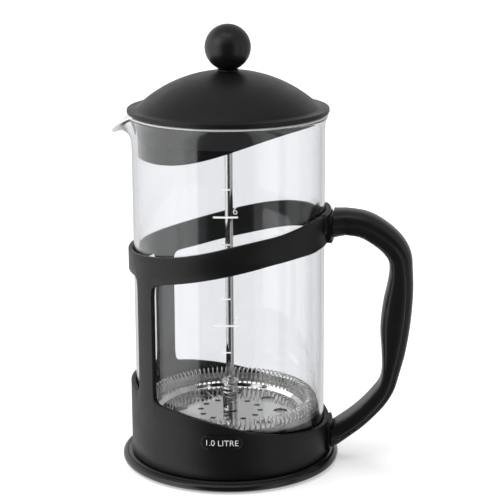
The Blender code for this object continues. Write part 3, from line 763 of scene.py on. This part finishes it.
def make_foot():
    """A disc with a hollow underside, and a bead round its edge."""
    bead_r = FOOT_R - FOOT_BEAD
    outline = (
        (0.0, FOOT_TOP, 0.0), (bead_r - 2.2 * MM, FOOT_TOP, 0.4 * MM),
        (bead_r - 1.2 * MM, FOOT_TOP - 0.8 * MM, 0.4 * MM),
        (bead_r - 0.2 * MM, FOOT_TOP - 0.1 * MM, 0.9 * MM), (FOOT_R, FOOT_TOP - 1.4 * MM, 1.6 * MM),
        (FOOT_R, 1.6 * MM, 1.8 * MM), (bead_r - 1.2 * MM, 0.0, 1.2 * MM),
        (bead_r - 3.0 * MM, 0.0, 0.2 * MM), (bead_r - 3.6 * MM, FOOT_RECESS, 0.2 * MM),
        (0.0, FOOT_RECESS, 0.0),
    )
    material = moulded_plastic("foot_black", 0.2, 0.12, specular=0.5)
    turned_piece("foot_ring", outline, "holder", material, ("foot",), False, 240)


def wrapped(mesh, radius, degrees, z):
    """Bends a flat mesh round the Z axis: x goes round, y up, and z outwards."""
    for vertex in mesh.vertices:
        x, y, out = vertex.co
        vertex.co = on_cylinder(radius + out, degrees + math.degrees(x / radius), z + y)


def text_mesh(name, words, size, thickness):
    curve = bpy.data.curves.new(name, "FONT")
    curve.body = words
    curve.size = size
    curve.extrude = 0.5 * thickness
    curve.offset = -TEXT_THINNING * size
    curve.align_x = "CENTER"
    curve.align_y = "CENTER"
    return baked(scratch(name, curve))


def closed_wire(name, points, radius, resolution):
    """A round wire through points, closed on itself."""
    curve = bpy.data.curves.new(name, "CURVE")
    curve.dimensions = "3D"
    curve.bevel_depth = radius
    curve.bevel_resolution = resolution
    spline = curve.splines.new("POLY")
    spline.points.add(len(points) - 1)
    spline.use_cyclic_u = True
    for spline_point, place in zip(spline.points, points):
        spline_point.co = (*place, 1.0)
    return scratch(name, curve)


def pill_half_height(s):
    """Half the badge's height at a distance s along it from its middle."""
    end_r = 0.5 * BADGE_HEIGHT
    beyond = abs(s) - (0.5 * BADGE_LENGTH - end_r)
    if beyond <= 0.0:
        return end_r
    return math.sqrt(max(0.0, end_r ** 2 - beyond ** 2))


def badge_blank():
    """The pill-shaped plate, bent round the base."""
    end_r = 0.5 * BADGE_HEIGHT
    straight = 0.5 * BADGE_LENGTH - end_r
    spans = [straight * i / 8 for i in range(9)]
    spans += [straight + end_r * math.sin(math.radians(6.0 * i)) for i in range(1, 15)]
    spans = sorted([-s for s in spans if s] + spans)
    angles = [BADGE_ANGLE + math.degrees(s / FRAME_R) for s in spans]

    def edge(sign):
        return lambda a: BADGE_Z + sign * pill_half_height(math.radians(a - BADGE_ANGLE) * FRAME_R)

    face_r = BADGE_FACE - BADGE_SINK
    plate = scratch("plate", cylinder_sheet("plate", face_r, angles, (edge(-1.0), edge(0.0), edge(1.0))))
    add_solidify(plate, BADGE_THICK - BADGE_SINK)
    return plate


def badge_rim():
    """A raised line round the badge."""
    end_r = 0.5 * BADGE_HEIGHT
    straight = 0.5 * BADGE_LENGTH - end_r
    bend_r = end_r - BADGE_RIM_INSET
    steps = 96
    points = []
    for i in range(steps):
        turn = 2.0 * math.pi * i / steps
        x = math.copysign(straight, math.cos(turn)) + bend_r * math.cos(turn)
        angle = BADGE_ANGLE + math.degrees(x / FRAME_R)
        z = BADGE_Z + bend_r * math.sin(turn)
        points.append(on_cylinder(FRAME_R + GAP + 0.5 * BADGE_THICK, angle, z))
    return closed_wire("rim", points, BADGE_RIM_R, 3)


def make_badge():
    mesh = joined("badge_plate", (badge_blank(), badge_rim()))
    material = moulded_plastic("badge_black", 0.25, 0.1, specular=0.5)
    smooth(new_piece("badge_plate", mesh, "holder", material, ("capacity_badge",)))
    words = text_mesh("badge_text", BADGE_WORDS, BADGE_TEXT_SIZE, BADGE_TEXT_THICK)
    wrapped(words, BADGE_FACE - BADGE_TEXT_SINK, BADGE_ANGLE, BADGE_Z - BADGE_TEXT_DROP)
    new_piece("badge_text", words, "holder", white_print("badge_white"))


# The handle

def smooth_stations(stations, per_span):
    """Points on a Catmull-Rom curve through the stations."""
    rows = [Vector(row) for row in stations]
    result = []
    for i in range(len(rows) - 1):
        before = rows[max(i - 1, 0)]
        after = rows[min(i + 2, len(rows) - 1)]
        a = rows[i]
        b = rows[i + 1]
        tangent_a = 0.5 * (b - before)
        tangent_b = 0.5 * (after - a)
        for step in range(per_span):
            t = step / per_span
            result.append(
                (2 * t ** 3 - 3 * t ** 2 + 1) * a + (t ** 3 - 2 * t ** 2 + t) * tangent_a
                + (3 * t ** 2 - 2 * t ** 3) * b + (t ** 3 - t ** 2) * tangent_b
            )
    result.append(rows[-1])
    return result


def quarter_oval(out, across, height, steps=8):
    """Points from an oval's top, above its centre, down to its side."""
    points = []
    for i in range(steps + 1):
        angle = math.radians(90.0 * i / steps)
        points.append((out + height * math.cos(angle) ** 0.8, across * math.sin(angle) ** 0.8))
    return points


def handle_section(thickness, width, crown, inner):
    """The handle's outline across: a rounded back, a thin bead below it, flat flanks and an inner face."""
    top = 0.5 * thickness
    side = 0.5 * width
    line = top - crown
    groove = side - HANDLE_BEAD_DEPTH
    flank_top = line - 1.9 * MM
    half = quarter_oval(line, side, crown)
    half += [
        (line - 0.3 * MM, groove), (line - 0.8 * MM, side), (line - 1.1 * MM, side),
        (line - 1.5 * MM, groove), (flank_top, side),
        (0.5 * (flank_top + inner - top), side + HANDLE_FLANK_SWELL),
    ]
    half += [(-out, across) for out, across in reversed(quarter_oval(top - inner, side, inner))]
    other = [(out, -across) for out, across in reversed(half[1:-1])]
    return half + other


def handle_loft():
    """A loft down the handle's stations."""
    stations = smooth_stations([[v * MM for v in row] for row in HANDLE_STATIONS], HANDLE_SPAN_STEPS)
    bm = bmesh.new()
    rings = []
    for i, (x, z, thickness, width, crown, inner) in enumerate(stations):
        before = stations[max(i - 1, 0)]
        after = stations[min(i + 1, len(stations) - 1)]
        along = Vector((after[0] - before[0], 0.0, after[1] - before[1])).normalized()
        outward = Vector((-along.z, 0.0, along.x))
        centre = Vector((x, 0.0, z))
        ring = []
        for out, across in handle_section(thickness, width, crown, inner):
            ring.append(bm.verts.new(centre + outward * out + Vector((0.0, across, 0.0))))
        rings.append(ring)
    for near, far in zip(rings, rings[1:]):
        bridge(bm, near, far, True)
    bm.faces.new(list(reversed(rings[0])))
    bm.faces.new(rings[-1])
    return scratch("grip", solid_mesh(bm, "grip"))


def make_handle():
    """The handle, cut to the seats that it is screwed to."""
    grip = handle_loft()
    top = 180.0 * MM
    low = -40.0 * MM
    trim_outline = ((0.0, top), (SEAT_R + GAP, top), (SEAT_R + GAP, low), (0.0, low))
    trim = scratch("trim", turned_mesh("trim", trim_outline, False, 360))
    add_cut(grip, trim)
    mesh = baked(grip)
    bpy.data.objects.remove(trim)
    material = moulded_plastic("handle_black", 0.34, 0.15, specular=0.5)
    smooth(new_piece("handle_grip", mesh, "holder", material, ("handle",)), 30.0)


# The beaker

def spout_share(degrees):
    """How far the lip has turned from the plain rim, 0, into the spout, 1."""
    share = 1.0 - from_spout(degrees) / SPOUT_HALF_WIDTH
    return 0.0 if share <= 0.0 else math.sin(0.5 * math.pi * share) ** 2.4


def shortened(line, length):
    """A line with a length cut off its end, and as many points as before at even steps."""
    distances = [0.0]
    for a, b in zip(line, line[1:]):
        distances.append(distances[-1] + (b - a).length)
    result = []
    segment = 0
    for i in range(len(line)):
        along = (distances[-1] - length) * i / (len(line) - 1)
        while distances[segment + 1] < along:
            segment += 1
        share = (along - distances[segment]) / (distances[segment + 1] - distances[segment])
        result.append(line[segment].lerp(line[segment + 1], share))
    return result


def lip_line(share):
    """The outer side of the lip, upwards, stopping half a wall short of its end."""
    points = []
    for plain, spout in zip(RIM_PROFILE, SPOUT_PROFILE):
        points.append([(a + share * (b - a)) * MM for a, b in zip(plain, spout)])
    return shortened(smooth_stations(points, 3), 0.5 * GLASS_WALL)


def offset_line(line, distance):
    """A line moved sideways, to its left as it runs."""
    result = []
    for i, point in enumerate(line):
        along = (line[min(i + 1, len(line) - 1)] - line[max(i - 1, 0)]).normalized()
        result.append(point + distance * Vector((-along.y, along.x)))
    return result


def beaker_section(share):
    """(r, z) points from the middle of the floor's underside, up outside, over the lip, and back inside."""
    centre = Vector((GLASS_R - GLASS_CORNER, GLASS_LOW + GLASS_CORNER))
    corner = [math.radians(90.0 * i / 8) for i in range(9)]
    arc = [centre + GLASS_CORNER * Vector((math.sin(a), -math.cos(a))) for a in corner]
    lip = lip_line(share)
    wall_top = lip[0]
    wall = [arc[-1].lerp(wall_top, i / 8) for i in range(1, 8)]
    outer = [Vector((0.35 * GLASS_R, GLASS_LOW))] + arc + wall + lip
    inner = offset_line(outer, GLASS_WALL)
    end = (outer[-1] - outer[-2]).normalized()
    middle = 0.5 * (outer[-1] + inner[-1])
    across = 0.5 * (outer[-1] - inner[-1])
    bend = [math.radians(180.0 * i / 8) for i in range(1, 8)]
    cap = [middle + across * math.cos(a) + end * across.length * math.sin(a) for a in bend]
    return outer + cap + inner[::-1]


def beaker_angles():
    """Even steps round the glass, and closer ones through the spout."""
    plain = [a for a in range(0, 360, 2) if from_spout(a) > SPOUT_HALF_WIDTH + 1.0]
    fine = [SPOUT_ANGLE + SPOUT_HALF_WIDTH * (i / 30 - 1.0) for i in range(61)]
    return sorted(plain + fine)


def make_beaker():
    bm = bmesh.new()
    columns = columns_round(bm, beaker_angles(), lambda a: beaker_section(spout_share(a)))
    low = bm.verts.new((0.0, 0.0, GLASS_LOW))
    high = bm.verts.new((0.0, 0.0, GLASS_LOW + GLASS_WALL))
    for i, column in enumerate(columns):
        beside = columns[(i + 1) % len(columns)]
        bridge(bm, column, beside)
        bm.faces.new((low, beside[0], column[0]))
        bm.faces.new((high, column[-1], beside[-1]))
    mesh = solid_mesh(bm, "glass_beaker")
    glass = clear_glass("beaker_glass")
    smooth(new_piece("glass_beaker", mesh, "beaker", glass, ("beaker",)), 60.0)


def mark_tick(radius, z, half_angle, half_height):
    angles = [MARK_ANGLE + half_angle * (i / 6 - 1.0) for i in range(13)]
    rows = (lambda a: z - half_height, lambda a: z + half_height)
    tick = scratch("tick", cylinder_sheet("tick", radius, angles, rows))
    add_solidify(tick, MARK_THICK)
    return tick


def make_marks():
    """Level ticks and small numbers, printed on the outside of the glass."""
    radius = GLASS_R + MARK_GAP + MARK_THICK
    parts = []
    for k in range(MARK_COUNT):
        z = MARK_LOWEST + k * MARK_STEP
        shape = LONG_MARK if k in LONG_MARKS else SHORT_MARK
        parts.append(mark_tick(radius, z, *shape))
        if k in NUMBERED_MARKS:
            number = text_mesh("number", str(k + 1), NUMBER_SIZE, MARK_THICK)
            wrapped(number, radius, MARK_ANGLE + NUMBER_TURN, z + NUMBER_RISE)
            parts.append(scratch("number", number))
    mesh = joined("beaker_marks", parts)
    new_piece("beaker_marks", mesh, "beaker", white_print("mark_white"))


# The lid

def dome_arc(sphere_r, start_r, end_r, steps):
    radii = [start_r + (end_r - start_r) * i / steps for i in range(steps + 1)]
    return [(r, DOME_SPHERE_Z + math.sqrt(sphere_r ** 2 - r ** 2), 0.0) for r in radii]


def make_lid_outer():
    """A dome with a flat crown and a flat rim."""
    hole = BUSH_R + 0.4 * MM
    rim_inner_r = DOME_FOOT_R + 2.6 * MM
    outline = [(hole, DOME_CROWN, 0.2 * MM), (DOME_CROWN_R, DOME_CROWN, 0.5 * MM)]
    outline += dome_arc(DOME_SPHERE_R, DOME_CROWN_R + 0.8 * MM, DOME_FOOT_R - 0.6 * MM, 36)
    outline += [
        (DOME_FOOT_R, LID_RIM_TOP + 0.05 * MM, 0.9 * MM),
        (rim_inner_r, LID_RIM_TOP - 0.15 * MM, 0.6 * MM),
        (LID_R - 0.1 * MM, LID_RIM_TOP - 0.2 * MM, 0.4 * MM), (LID_R, LID_LOW + 0.1 * MM, 0.5 * MM),
        (LID_R - 1.4 * MM, LID_LOW, 0.4 * MM), (DOME_FOOT_R, LID_LOW, 0.4 * MM),
    ]
    outline += dome_arc(DOME_SPHERE_R - DOME_WALL, 45.0 * MM, DOME_CROWN_R, 24)
    outline.append((hole, DOME_CROWN - DOME_WALL, 0.2 * MM))
    material = moulded_plastic("lid_black", 0.4, 0.5)
    turned_piece("lid_outer", outline, "lid", material, ("lid_dome",), segments=240)


def skirt_edge(degrees):
    """The slanted lower edge: deep and level at the spout, nearly nothing at the handle."""
    return SKIRT_LOW + SKIRT_RISE * smooth_step((math.cos(math.radians(degrees)) + 0.75) / 1.8)


def skirt_section(low):
    """The inner lid's outline at one angle, down to its lower edge there."""
    hole = BUSH_R + 2.0 * GAP
    middle_r = 0.6 * SKIRT_R
    inner_r = SKIRT_R - SKIRT_WALL
    under = SKIRT_TOP - SKIRT_WALL
    heights = [SKIRT_TOP + (low - SKIRT_TOP) / SKIRT_LEVELS * k for k in range(3, SKIRT_LEVELS)]
    outline = [(hole, SKIRT_TOP, 0.0), (middle_r, SKIRT_TOP, 0.0), (SKIRT_R, SKIRT_TOP, SKIRT_CORNER)]
    outline += [(SKIRT_R, z, 0.0) for z in heights]
    outline += [(SKIRT_R, low, SKIRT_EDGE), (inner_r, low, SKIRT_EDGE)]
    outline += [(inner_r, z, 0.0) for z in reversed(heights)]
    outline += [(inner_r, under, 0.5 * SKIRT_CORNER), (middle_r, under, 0.0), (hole, under, 0.0)]
    return rounded(outline)


def make_lid_inner():
    """A disc under the dome, and the slanted skirt that closes or opens the spout."""
    bm = bmesh.new()
    segments = 240
    angles = [360.0 * i / segments for i in range(segments)]
    columns = columns_round(bm, angles, lambda a: skirt_section(skirt_edge(a)))
    for i, column in enumerate(columns):
        bridge(bm, column, columns[(i + 1) % segments], True)
    mesh = solid_mesh(bm, "lid_inner")
    material = moulded_plastic("skirt_black", 0.14, 0.03, specular=0.5)
    matt_above(material, SKIRT_MATT_Z, 0.12, 0.36)
    smooth(new_piece("lid_inner", mesh, "lid", material, ("lid_skirt",)))


def make_bush():
    flange_r, low, top = cad_span("lid_bush")
    flange_top = low + BUSH_FLANGE
    outline = (
        (BUSH_R, top, 0.3 * MM), (BUSH_R, flange_top, 0.3 * MM), (flange_r, flange_top, 0.4 * MM),
        (flange_r, low, 0.5 * MM), (BORE_R, low, 0.3 * MM), (BORE_R, top, 0.2 * MM),
    )
    material = moulded_plastic("bush_grey", 0.5, 0.3, BUSH_GREY)
    turned_piece("rod_sleeve", outline, "bush", material, ("lid_bush",), segments=64)


# The plunger

def make_knob():
    """A ball on a short neck, hollow for its insert."""
    steps = 48
    neck_angle = math.pi - math.asin(KNOB_NECK_R / KNOB_R)
    turns = [neck_angle * i / steps for i in range(steps + 1)]
    outline = [(KNOB_R * math.sin(turn), KNOB_Z + KNOB_R * math.cos(turn), 0.0) for turn in turns]
    insert_r, _, insert_top = cad_span("knob_insert")
    hole_r = insert_r + GAP
    hole_top = insert_top + GAP
    outline += [
        (KNOB_NECK_R + 0.1 * MM, KNOB_LOW + 0.9 * MM, 0.4 * MM), (6.0 * MM, KNOB_LOW, 0.25 * MM),
        (hole_r, KNOB_LOW, 0.2 * MM), (hole_r, hole_top, 0.2 * MM),
        (0.0, hole_top, 0.0),
    ]
    material = moulded_plastic("knob_black", 0.34, 0.25, specular=0.45)
    turned_piece("ball_knob", outline, "plunger", material, ("knob",), False, 128)


def make_rod():
    edge = 0.4 * MM
    outline = ((0.0, ROD_TOP, 0.0), (ROD_R, ROD_TOP, edge), (ROD_R, ROD_LOW, edge), (0.0, ROD_LOW, 0.0))
    steel = polished_steel("rod_steel", 0.09, 0.97, wear=0.03)
    turned_piece("steel_rod", outline, "plunger", steel, ("plunger_rod",), False, 64)


def plate_steel_piece(name, outline, steel, node):
    """A turned steel piece of the filter stack, in one slot with the plates."""
    turned_piece(name, outline, "plunger", steel, (node,), segments=96)


def make_collar_and_hub(steel):
    collar = (
        (4.5 * MM, COLLAR_TOP, 0.3 * MM), (4.7 * MM, COLLAR_TOP - 0.6 * MM, 0.4 * MM),
        (3.7 * MM, COLLAR_TOP - 2.0 * MM, 1.2 * MM), (3.5 * MM, COLLAR_TOP - 3.1 * MM, 1.0 * MM),
        (4.2 * MM, COLLAR_LOW + 1.8 * MM, 1.0 * MM), (4.4 * MM, COLLAR_LOW + 0.6 * MM, 0.4 * MM),
        (4.2 * MM, COLLAR_LOW, 0.2 * MM), (BORE_R, COLLAR_LOW, 0.1 * MM),
        (BORE_R, COLLAR_TOP, 0.3 * MM),
    )
    plate_steel_piece("collar", collar, steel, "rod_collar")
    hub = (
        (HUB_R, HUB_TOP, 0.3 * MM), (HUB_R, HUB_LOW, 0.2 * MM), (BORE_R, HUB_LOW, 0.1 * MM),
        (BORE_R, HUB_TOP, 0.1 * MM),
    )
    plate_steel_piece("hub_tube", hub, steel, "plate_hub")


def pegs(name, radius, ring_radius, count, z, segments=20):
    """A ring of upright pegs, to punch holes with."""
    bm = bmesh.new()
    size = {"segments": segments, "radius1": radius, "radius2": radius, "depth": 6.0 * MM}
    for i in range(count):
        angle = 2.0 * math.pi * i / count
        place = Matrix.Translation((ring_radius * math.cos(angle), ring_radius * math.sin(angle), z))
        bmesh.ops.create_cone(bm, cap_ends=True, matrix=place, **size)
    return scratch(name, mesh_of(bm, name))


def punched(name, outline, cutters, steel, node):
    """A turned sheet of the filter stack with holes punched through it."""
    obj = scratch(name + "_blank", turned_mesh(name, rounded(outline), True, 240))
    for cutter in cutters:
        add_cut(obj, cutter)
    mesh = baked(obj)
    for cutter in cutters:
        bpy.data.objects.remove(cutter)
    smooth(new_piece(name, mesh, "plunger", steel, (node,)), 30.0)


def wall_outline(points, wall):
    """A closed outline of a sheet: the given upper line, and the same line a wall's thickness below."""
    below = [(r, z - wall, radius) for r, z, radius in reversed(points)]
    return list(points) + below


def make_filter_plate():
    """The dish that carries the spring, with three rings of holes."""
    plate = (
        (PLATE_HOLE_R, PLATE_TOP, 0.0), (7.0 * MM, PLATE_TOP, 0.5 * MM),
        (8.2 * MM, PLATE_TOP - 0.05 * MM, 0.5 * MM), (36.4 * MM, PLATE_TOP, 1.2 * MM),
        (38.3 * MM, PLATE_TOP + 1.6 * MM, 1.0 * MM), (39.6 * MM, PLATE_TOP + 2.1 * MM, 0.8 * MM),
        (44.2 * MM, PLATE_TOP + 2.4 * MM, 0.5 * MM), (44.6 * MM, PLATE_TOP + 2.5 * MM, 0.0),
    )
    cutters = (
        pegs("large", 3.6 * MM, 26.0 * MM, 8, PLATE_TOP),
        pegs("medium", 1.6 * MM, 15.5 * MM, 12, PLATE_TOP),
        pegs("small", 0.75 * MM, 34.0 * MM, 60, PLATE_TOP, 12),
    )
    steel = polished_steel("plate_steel", 0.07, 0.9, (0.1, 0.1, 0.1), 0.05)
    punched("filter_plate", wall_outline(plate, PLATE_WALL), cutters, steel, "spiral_plate")


def make_clamp_plate():
    cross = ((PLATE_HOLE_R, CROSS_TOP, 0.0), (CROSS_R, CROSS_TOP, 0.1 * MM))
    cutters = (pegs("wide", 7.5 * MM, 20.0 * MM, 6, CROSS_TOP, 48),)
    steel = polished_steel("cross_steel", 0.18, 0.6)
    punched("clamp_plate", wall_outline(cross, CROSS_WALL), cutters, steel, "cross_plate")


def make_gauze():
    """A cup of gauze under the plate, folded up round the spring."""
    wall = MESH_WALL
    floor = MESH_LOW + wall
    outline = (
        (MESH_R, MESH_EDGE, 0.15 * MM), (MESH_R, 27.2 * MM, 0.5 * MM), (44.8 * MM, 26.1 * MM, 0.8 * MM),
        (38.9 * MM, 25.5 * MM, 0.8 * MM), (36.9 * MM, MESH_LOW, 0.8 * MM),
        (PLATE_HOLE_R, MESH_LOW, 0.0),
        (PLATE_HOLE_R, floor, 0.0), (36.7 * MM, floor, 0.8 * MM), (38.7 * MM, 25.8 * MM, 0.8 * MM),
        (44.6 * MM, 26.4 * MM, 0.6 * MM), (MESH_R - wall, 27.4 * MM, 0.4 * MM),
        (MESH_R - wall, MESH_EDGE, 0.15 * MM),
    )
    gauze = woven_gauze("gauze_steel")
    turned_piece("gauze_cup", outline, "plunger", gauze, ("mesh_filter",), segments=240)


def make_coil():
    """A closed spring: a helix of round wire wound on a ring that presses on the glass."""
    count = COIL_TURNS * COIL_STEPS_PER_TURN
    points = []
    for i in range(count):
        turn = 2.0 * math.pi * i / COIL_STEPS_PER_TURN
        r = COIL_R + COIL_TUBE_R * math.cos(turn)
        points.append(on_cylinder(r, 360.0 * i / count, COIL_Z + COIL_TUBE_R * math.sin(turn)))
    mesh = baked(closed_wire("coil", points, COIL_WIRE_R, 2))
    steel = polished_steel("coil_steel", 0.28, 0.97, wear=0.05)
    smooth(new_piece("coil_wire", mesh, "plunger", steel, ("coil_spring",)), 60.0)


def make_cross_nut(steel):
    flange_r, low, top = cad_span("cross_plate_nut")
    body_r = 4.0 * MM
    outline = (
        (flange_r, top, 0.2 * MM), (flange_r, top - 1.0 * MM, 0.3 * MM),
        (body_r, top - 1.2 * MM, 0.3 * MM), (body_r, low, 0.6 * MM), (BORE_R, low, 0.3 * MM),
        (BORE_R, top, 0.1 * MM),
    )
    plate_steel_piece("clamp_nut", outline, steel, "cross_plate_nut")


def finish_kept_nodes():
    """Better materials for the small hidden pieces that stay as they are."""
    screws = polished_steel("screw_steel", 0.25, 0.55)
    materials = {
        "handle_screw_upper": screws,
        "handle_screw_lower": screws,
        "bush_nut": screws,
        "knob_insert": turned_brass("insert_brass"),
    }
    for name, material in materials.items():
        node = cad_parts[name]
        node.data.materials.clear()
        node.data.materials.append(material)


# Surroundings

def mixed_shaders(tree, share, first, second):
    """One shader's output where the share is 0, and the other's where it is 1."""
    mix = add_node(tree, "MixShader")
    feed(mix, "Fac", share)
    feed(mix, 1, first)
    feed(mix, 2, second)
    return mix.outputs["Shader"]


def hide_from_reflections(tree, shader):
    """Lets reflections pass through a surface, so that polished pieces show the studio walls."""
    path = add_node(tree, "LightPath")
    mirrored = combined(tree, "GREATER_THAN", path.outputs["Glossy Depth"], 0.5)
    clear = add_node(tree, "BsdfTransparent")
    mix = mixed_shaders(tree, mirrored, shader.outputs["BSDF"], clear.outputs["BSDF"])
    feed(tree.nodes["Material Output"], "Surface", mix)


def make_floor():
    """A wide pale floor, a little bright by itself."""
    bm = bmesh.new()
    bmesh.ops.create_grid(bm, x_segments=4, y_segments=4, size=FLOOR_HALF_SIZE)
    floor = scratch("floor", solid_mesh(bm, "floor"))
    darker, lighter = [(tone, tone, tone) for tone in FLOOR_TONES]
    material, tree, shader = new_material("floor_pale", lighter, 0.9, specular=0.0)
    shader.inputs["Emission Color"].default_value = (1.0, 1.0, 1.0, 1.0)
    shader.inputs["Emission Strength"].default_value = FLOOR_GLOW
    feed(shader, "Base Color", mixed_colours(tree, pattern(tree, 3.0), darker, lighter))
    hide_from_reflections(tree, shader)
    floor.data.materials.append(material)
    floor.visible_glossy = False


def grey_ramp(tree, value, low, high, stops):
    """Levels of grey at stops between two values."""
    ramp = add_node(tree, "ValToRGB")
    elements = ramp.color_ramp.elements
    while len(elements) < len(stops):
        elements.new(0.5)
    for element, (place, level) in zip(elements, stops):
        element.position = (place - low) / (high - low)
        element.color = (level, level, level, 1.0)
    feed(ramp, "Fac", ranged(tree, value, low, high))
    return ramp.outputs["Color"]


def window(tree, value, start, full, fade, stop):
    """1 where a value is between full and fade, and 0 outside start and stop."""
    rise = ranged(tree, value, start, full)
    return combined(tree, "MULTIPLY", rise, ranged(tree, value, stop, fade))


def wall_colour(tree, height, turn):
    """The studio's walls by direction, and its plain ceiling."""
    stops = [(math.radians(angle), level) for angle, level in PANELS]
    walls = grey_ramp(tree, turn, -math.pi, math.pi, stops)
    ceiling_share = ranged(tree, height, *CEILING_FADE)
    return mixed_colours(tree, ceiling_share, walls, (CEILING, CEILING, CEILING))


def wall_strength(tree, height, turn):
    """1, and more where a soft light is."""
    strength = 1.0
    for gain, heights, turns in SOFTBOXES:
        lit = combined(tree, "MULTIPLY", window(tree, height, *heights), window(tree, turn, *turns))
        strength = combined(tree, "ADD", combined(tree, "MULTIPLY", lit, gain), strength)
    return strength


def make_world():
    """A studio that lights and is mirrored, and a plain pale backdrop that only the camera sees."""
    world = bpy.data.worlds.new("studio")
    bpy.context.scene.world = world
    world.use_nodes = True
    tree = world.node_tree
    tree.nodes.clear()
    x, y, height = axes(tree, "Generated")
    turn = combined(tree, "ARCTAN2", y, x)
    studio = add_node(tree, "Background")
    feed(studio, "Color", wall_colour(tree, height, turn))
    feed(studio, "Strength", wall_strength(tree, height, turn))
    backdrop = add_node(tree, "Background", {"Color": (BACKDROP, BACKDROP, BACKDROP, 1.0)})
    path = add_node(tree, "LightPath")
    seen = path.outputs["Is Camera Ray"]
    output = add_node(tree, "OutputWorld")
    mix = mixed_shaders(tree, seen, studio.outputs["Background"], backdrop.outputs["Background"])
    feed(output, "Surface", mix)


def make_lights():
    """One very soft light from the upper left, kept out of the reflections."""
    light = bpy.data.lights.new("key", "SUN")
    light.energy = KEY_ENERGY
    light.angle = math.radians(KEY_SPREAD)
    key = scratch("key", light)
    key.rotation_euler = KEY_DIRECTION.to_track_quat("Z", "Y").to_euler()
    key.visible_glossy = False


def make_camera():
    """The viewing angle: a little towards the handle, looking down, with a long lens."""
    camera = bpy.data.cameras.new("camera")
    camera.lens = CAMERA_LENS
    camera.sensor_width = 36.0
    camera.clip_end = CAMERA_REACH
    obj = scratch("camera", camera)
    obj.location = on_cylinder(CAMERA_DISTANCE, CAMERA_SWING - 90.0, CAMERA_HEIGHT)
    angles = (90.0 - CAMERA_DOWN, CAMERA_ROLL, CAMERA_TURN)
    obj.rotation_euler = [math.radians(angle) for angle in angles]
    bpy.context.scene.camera = obj


def main():
    make_holder_frame()
    make_foot()
    make_badge()
    make_handle()
    make_beaker()
    make_marks()
    make_lid_outer()
    make_lid_inner()
    make_bush()
    make_knob()
    make_rod()
    steel = polished_steel("hub_steel", 0.06, 0.85, wear=0.05)
    make_collar_and_hub(steel)
    make_filter_plate()
    make_clamp_plate()
    make_gauze()
    make_coil()
    make_cross_nut(steel)
    finish_kept_nodes()
    make_floor()
    make_world()
    make_lights()
    make_camera()
    bpy.context.scene.view_settings.view_transform = "Standard"


main()
